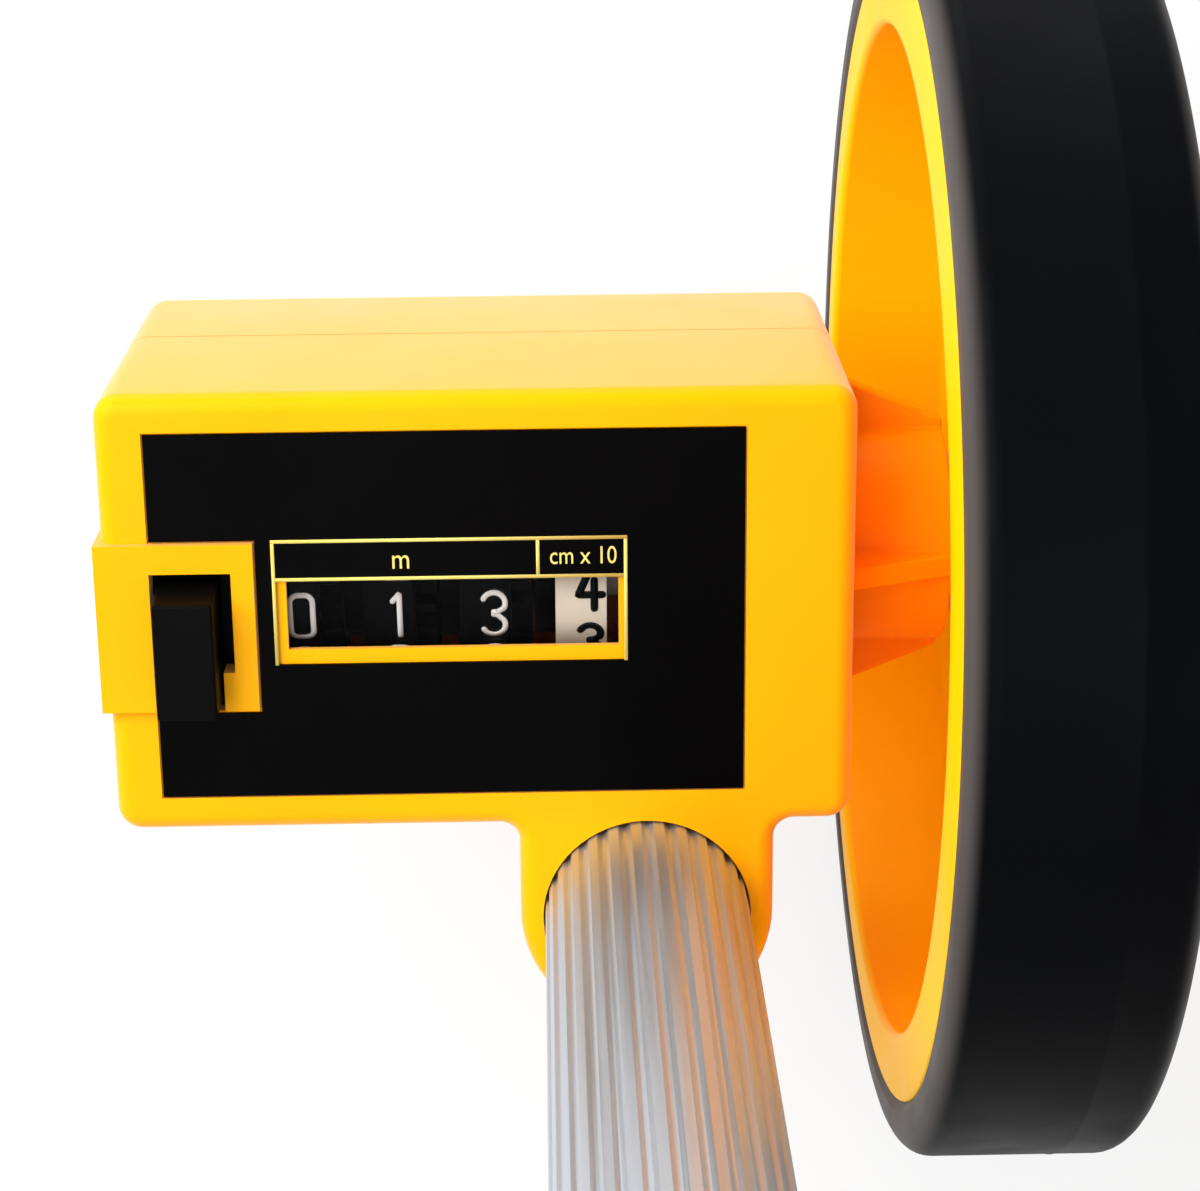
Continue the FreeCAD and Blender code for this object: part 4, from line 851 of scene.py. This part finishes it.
half_line = line_width / 2
strips("window_lines", [
    (cut_left - half_line, cut_right + half_line, heading_top - half_line, heading_top + half_line),
    (cut_left - half_line, cut_left + half_line, cut_bottom, heading_top - half_line),
    (cut_right - half_line, cut_right + half_line, cut_bottom, heading_top - half_line),
    (cut_left + half_line, cut_right - half_line, cut_top - half_line, cut_top + half_line),
    (divider_at - half_line, divider_at + half_line, cut_top + half_line, heading_top - half_line),
], print_yellow)


def print_words(name, words, centre_x, centre_z, height, narrow):
    """Text made into a mesh, stood up on the label's face and pressed flat against it."""
    half_thickness = 0.02
    curve = bpy.data.curves.new(name, "FONT")
    curve.body = words
    curve.align_x = "CENTER"
    curve.align_y = "CENTER"
    curve.size = height
    curve.extrude = half_thickness
    text = bpy.data.objects.new(name, curve)
    bpy.context.scene.collection.objects.link(text)
    bpy.context.view_layer.update()
    finished_text = text.evaluated_get(bpy.context.evaluated_depsgraph_get())
    mesh = bpy.data.meshes.new_from_object(finished_text)
    bpy.data.objects.remove(text)
    centre = Matrix.Translation((centre_x, print_front - half_thickness, centre_z))
    stand = centre @ Matrix.Rotation(math.pi / 2, 4, "X")
    squeeze = Matrix.Diagonal((narrow, 1, 1, 1))
    mesh.transform(HOUSING @ Matrix.Scale(MM, 4) @ stand @ squeeze)
    piece = bpy.data.objects.new(name, mesh)
    bpy.context.scene.collection.objects.link(piece)
    return settle(piece, "face_label", print_yellow, replaces=False)


print_words("unit_metres", "m", right_side - 54.3, 6.0, 3.6, narrow=0.85)
print_words("unit_tenths", "cm x 10", right_side - 32.6, 6.15, 3.1, narrow=0.8)
print("label", np.round(label_high - label_low, 1), "mm")

# %% [markdown]
# The two halves of the housing meet in a hairline. A narrow band laid over the joint, a hundredth
# of a millimetre high, draws it along the sides and the top: a rectangle with rounded corners.

# %% Draw the joint between the two halves
joint_at = 2.5
joint_half = 0.11
joint_round = 3.0
housing_wide = 90.0
housing_top = 26.3
sides_from = -20.0


def draw_joint():
    """Corner arcs joined by the straight sides; every point lies just outside the shell."""
    left, right = right_side - housing_wide, right_side
    out = 0.012
    angle = np.radians(np.linspace(0, 90, 10))
    right_arc = np.stack([right - joint_round + (joint_round + out) * np.cos(angle),
                          housing_top - joint_round + (joint_round + out) * np.sin(angle)], -1)
    left_arc = np.stack([left + joint_round - (joint_round + out) * np.sin(angle),
                         housing_top - joint_round + (joint_round + out) * np.cos(angle)], -1)
    path = np.concatenate([[(right + out, sides_from)], right_arc, left_arc,
                           [(left - out, sides_from)]])
    points = np.stack([np.stack([path[:, 0], np.full(len(path), y), path[:, 1]], -1)
                       for y in (joint_at - joint_half, joint_at + joint_half)])
    faces = grid_faces(2, len(path))
    return new_piece("housing_joint", points.reshape(-1, 3), faces, HOUSING)


settle(draw_joint(), "rear_cover", seam_shadow, replaces=False)
print("joint drawn", joint_at, "mm behind the axle")

# %% [markdown]
# ## Everything that keeps its own shape
# The remaining pieces already have the right form. Each gets whole faces, eased edges and its
# finish. Small pieces are eased less, so that gear teeth and screw heads stay crisp. On the white
# drum, the ring to the left of the number band is black like the other drums.

# %% Dress the remaining pieces
small_ease = 0.06
large = {"front_shell": 0.35, "rear_cover": 0.35, "axle_carrier": 0.4,
         "clamp_collar": 0.5, "clamp_lever": 0.4, "reset_button": 0.35, "hub_cap": 0.2,
         "hub_nut": 0.25, "hub_washer": 0.15, "housing_screws": 0.2, "counter_frame": 0.15}
new_shapes = {"tyre", "wheel_rim", "outer_tube", "handle_grip", "grip_end_plug"}
# The axle carrier gets painted shade: a deeper orange than the yellow of the housing.
special = {"axle_carrier": carrier_painted_shade}
dressed = {}
for node in sorted(set(body_of) - new_shapes):
    finish = special.get(node, finish_of[slot_of[node]])
    dressed[node] = settle(eased(node, large.get(node, small_ease)), node, finish)
just_left_of_band = drum_low[0] + side_ring - 0.01
repaint(dressed["drum_tenths"], COUNTER, lambda x, y, z: x < just_left_of_band, drum_black)
print("dressed", len(dressed), "pieces")

# %% [markdown]
# ## Studio
# The floor is pale and wide, the sky is an even white, and three large lamps shape the housing:
# one near and high on the left for the face, a far one in front that reaches into the wheel, and
# a far one above and behind for the top. What the eye sees of the surroundings is white.

# %% Floor, sky and lamps
FLOOR_SIZE = 8.0


def make_floor():
    """A pale plane that glows a little, but only for the camera and in mirror reflections."""
    half = FLOOR_SIZE / 2 / MM
    below = -0.2
    points = np.array([(-half, -half, below), (half, -half, below), (half, half, below),
                       (-half, half, below)])
    floor = new_piece("floor", points, np.array([[0, 1, 2, 3]]), Matrix())
    material = bpy.data.materials.new("floor_white")
    material.use_nodes = True
    tree = material.node_tree
    shader = tree.nodes["Principled BSDF"]
    shader.inputs["Base Color"].default_value = light(236, 236, 236)
    shader.inputs["Roughness"].default_value = 0.8
    glow = add_node(tree, "ShaderNodeEmission", {"Color": WHITE, "Strength": 1.0})
    seen = add_node(tree, "ShaderNodeLightPath")
    either = add_node(tree, "ShaderNodeMath", operation="MAXIMUM")
    share = add_node(tree, "ShaderNodeMath", {1: 0.8}, operation="MULTIPLY")
    mix = add_node(tree, "ShaderNodeMixShader")
    wire(tree, (seen.outputs["Is Camera Ray"], either.inputs[0]),
         (seen.outputs["Is Glossy Ray"], either.inputs[1]),
         (either.outputs[0], share.inputs[0]), (share.outputs[0], mix.inputs["Fac"]),
         (shader.outputs[0], mix.inputs[1]), (glow.outputs[0], mix.inputs[2]),
         (mix.outputs[0], tree.nodes["Material Output"].inputs["Surface"]))
    floor.data.materials.append(material)


def make_sky(level):
    """An even sky of one level for lighting, and plain white wherever it is seen."""
    world = bpy.data.worlds.new("studio")
    bpy.context.scene.world = world
    world.use_nodes = True
    tree = world.node_tree
    soft = tree.nodes["Background"]
    soft.inputs["Color"].default_value = WHITE
    soft.inputs["Strength"].default_value = level
    white = add_node(tree, "ShaderNodeBackground", {"Color": WHITE, "Strength": 1.0})
    seen = add_node(tree, "ShaderNodeLightPath")
    camera_or_glossy = add_node(tree, "ShaderNodeMath", operation="MAXIMUM")
    any_of_three = add_node(tree, "ShaderNodeMath", operation="MAXIMUM")
    mix = add_node(tree, "ShaderNodeMixShader")
    wire(tree, (seen.outputs["Is Camera Ray"], camera_or_glossy.inputs[0]),
         (seen.outputs["Is Glossy Ray"], camera_or_glossy.inputs[1]),
         (camera_or_glossy.outputs[0], any_of_three.inputs[0]),
         (seen.outputs["Is Transmission Ray"], any_of_three.inputs[1]),
         (any_of_three.outputs[0], mix.inputs["Fac"]),
         (soft.outputs[0], mix.inputs[1]), (white.outputs[0], mix.inputs[2]),
         (mix.outputs[0], tree.nodes["World Output"].inputs["Surface"]))


def add_lamp(name, at, aim, size, level):
    """A square lamp. Its power is level x pi^2 x distance^2, so that a level of 1 alone
    shows a surface that faces it as its written colour."""
    lamp = bpy.data.lights.new(name, "AREA")
    lamp.size = size * MM
    start = HOUSING @ (Vector(at) * MM)
    end = HOUSING @ (Vector(aim) * MM)
    distance = (start - end).length
    lamp.energy = level * math.pi ** 2 * distance ** 2
    thing = bpy.data.objects.new(name, lamp)
    aimed = (start - end).to_track_quat("Z", "Y").to_matrix().to_4x4()
    thing.matrix_world = Matrix.Translation(start) @ aimed
    bpy.context.scene.collection.objects.link(thing)


make_floor()
make_sky(0.42)
middle_of_face = (-62, -28, 0)
add_lamp("key", (-340, -320, 280), middle_of_face, 360, 1.35)
add_lamp("front", (-600, -2700, -240), middle_of_face, 1800, 0.32)
add_lamp("top", (-400, 300, 1700), (-62, 0, 26), 1100, 0.4)

# %% [markdown]
# ## Camera
# The camera stands a forearm away, a little right of the counter and above it, looking down at
# the face. Its place and turn are given in the housing's own axes, like everything on the face.

# %% Place the camera
IMAGE_WIDTH = 1200
FOCAL_PIXELS = 2850
SENSOR = 36.0
camera_at = Vector((right_side - 36.775, -351.073, 109.633))
yaw, pitch, roll = 0.019, 0.324, 0.009


def camera_turn():
    """Forward from yaw and pitch, then right and down turned about it by the roll."""
    level = math.cos(pitch)
    forward = Vector((math.sin(yaw) * level, math.cos(yaw) * level, -math.sin(pitch)))
    right = Vector((math.cos(yaw), -math.sin(yaw), 0))
    down = forward.cross(right)
    rolled_right = right * math.cos(roll) + down * math.sin(roll)
    rolled_down = down * math.cos(roll) - right * math.sin(roll)
    return Matrix((rolled_right, -rolled_down, -forward)).transposed().to_4x4()


lens = bpy.data.cameras.new("camera")
lens.sensor_fit = "HORIZONTAL"
lens.sensor_width = SENSOR
lens.lens = FOCAL_PIXELS / IMAGE_WIDTH * SENSOR
lens.clip_start = 0.01
camera = bpy.data.objects.new("camera", lens)
camera.matrix_world = HOUSING @ Matrix.Translation(camera_at * MM) @ camera_turn()
bpy.context.scene.collection.objects.link(camera)
bpy.context.scene.camera = camera
bpy.context.scene.view_settings.view_transform = "Standard"
print("camera at", [round(number, 3) for number in camera.matrix_world.to_translation()])
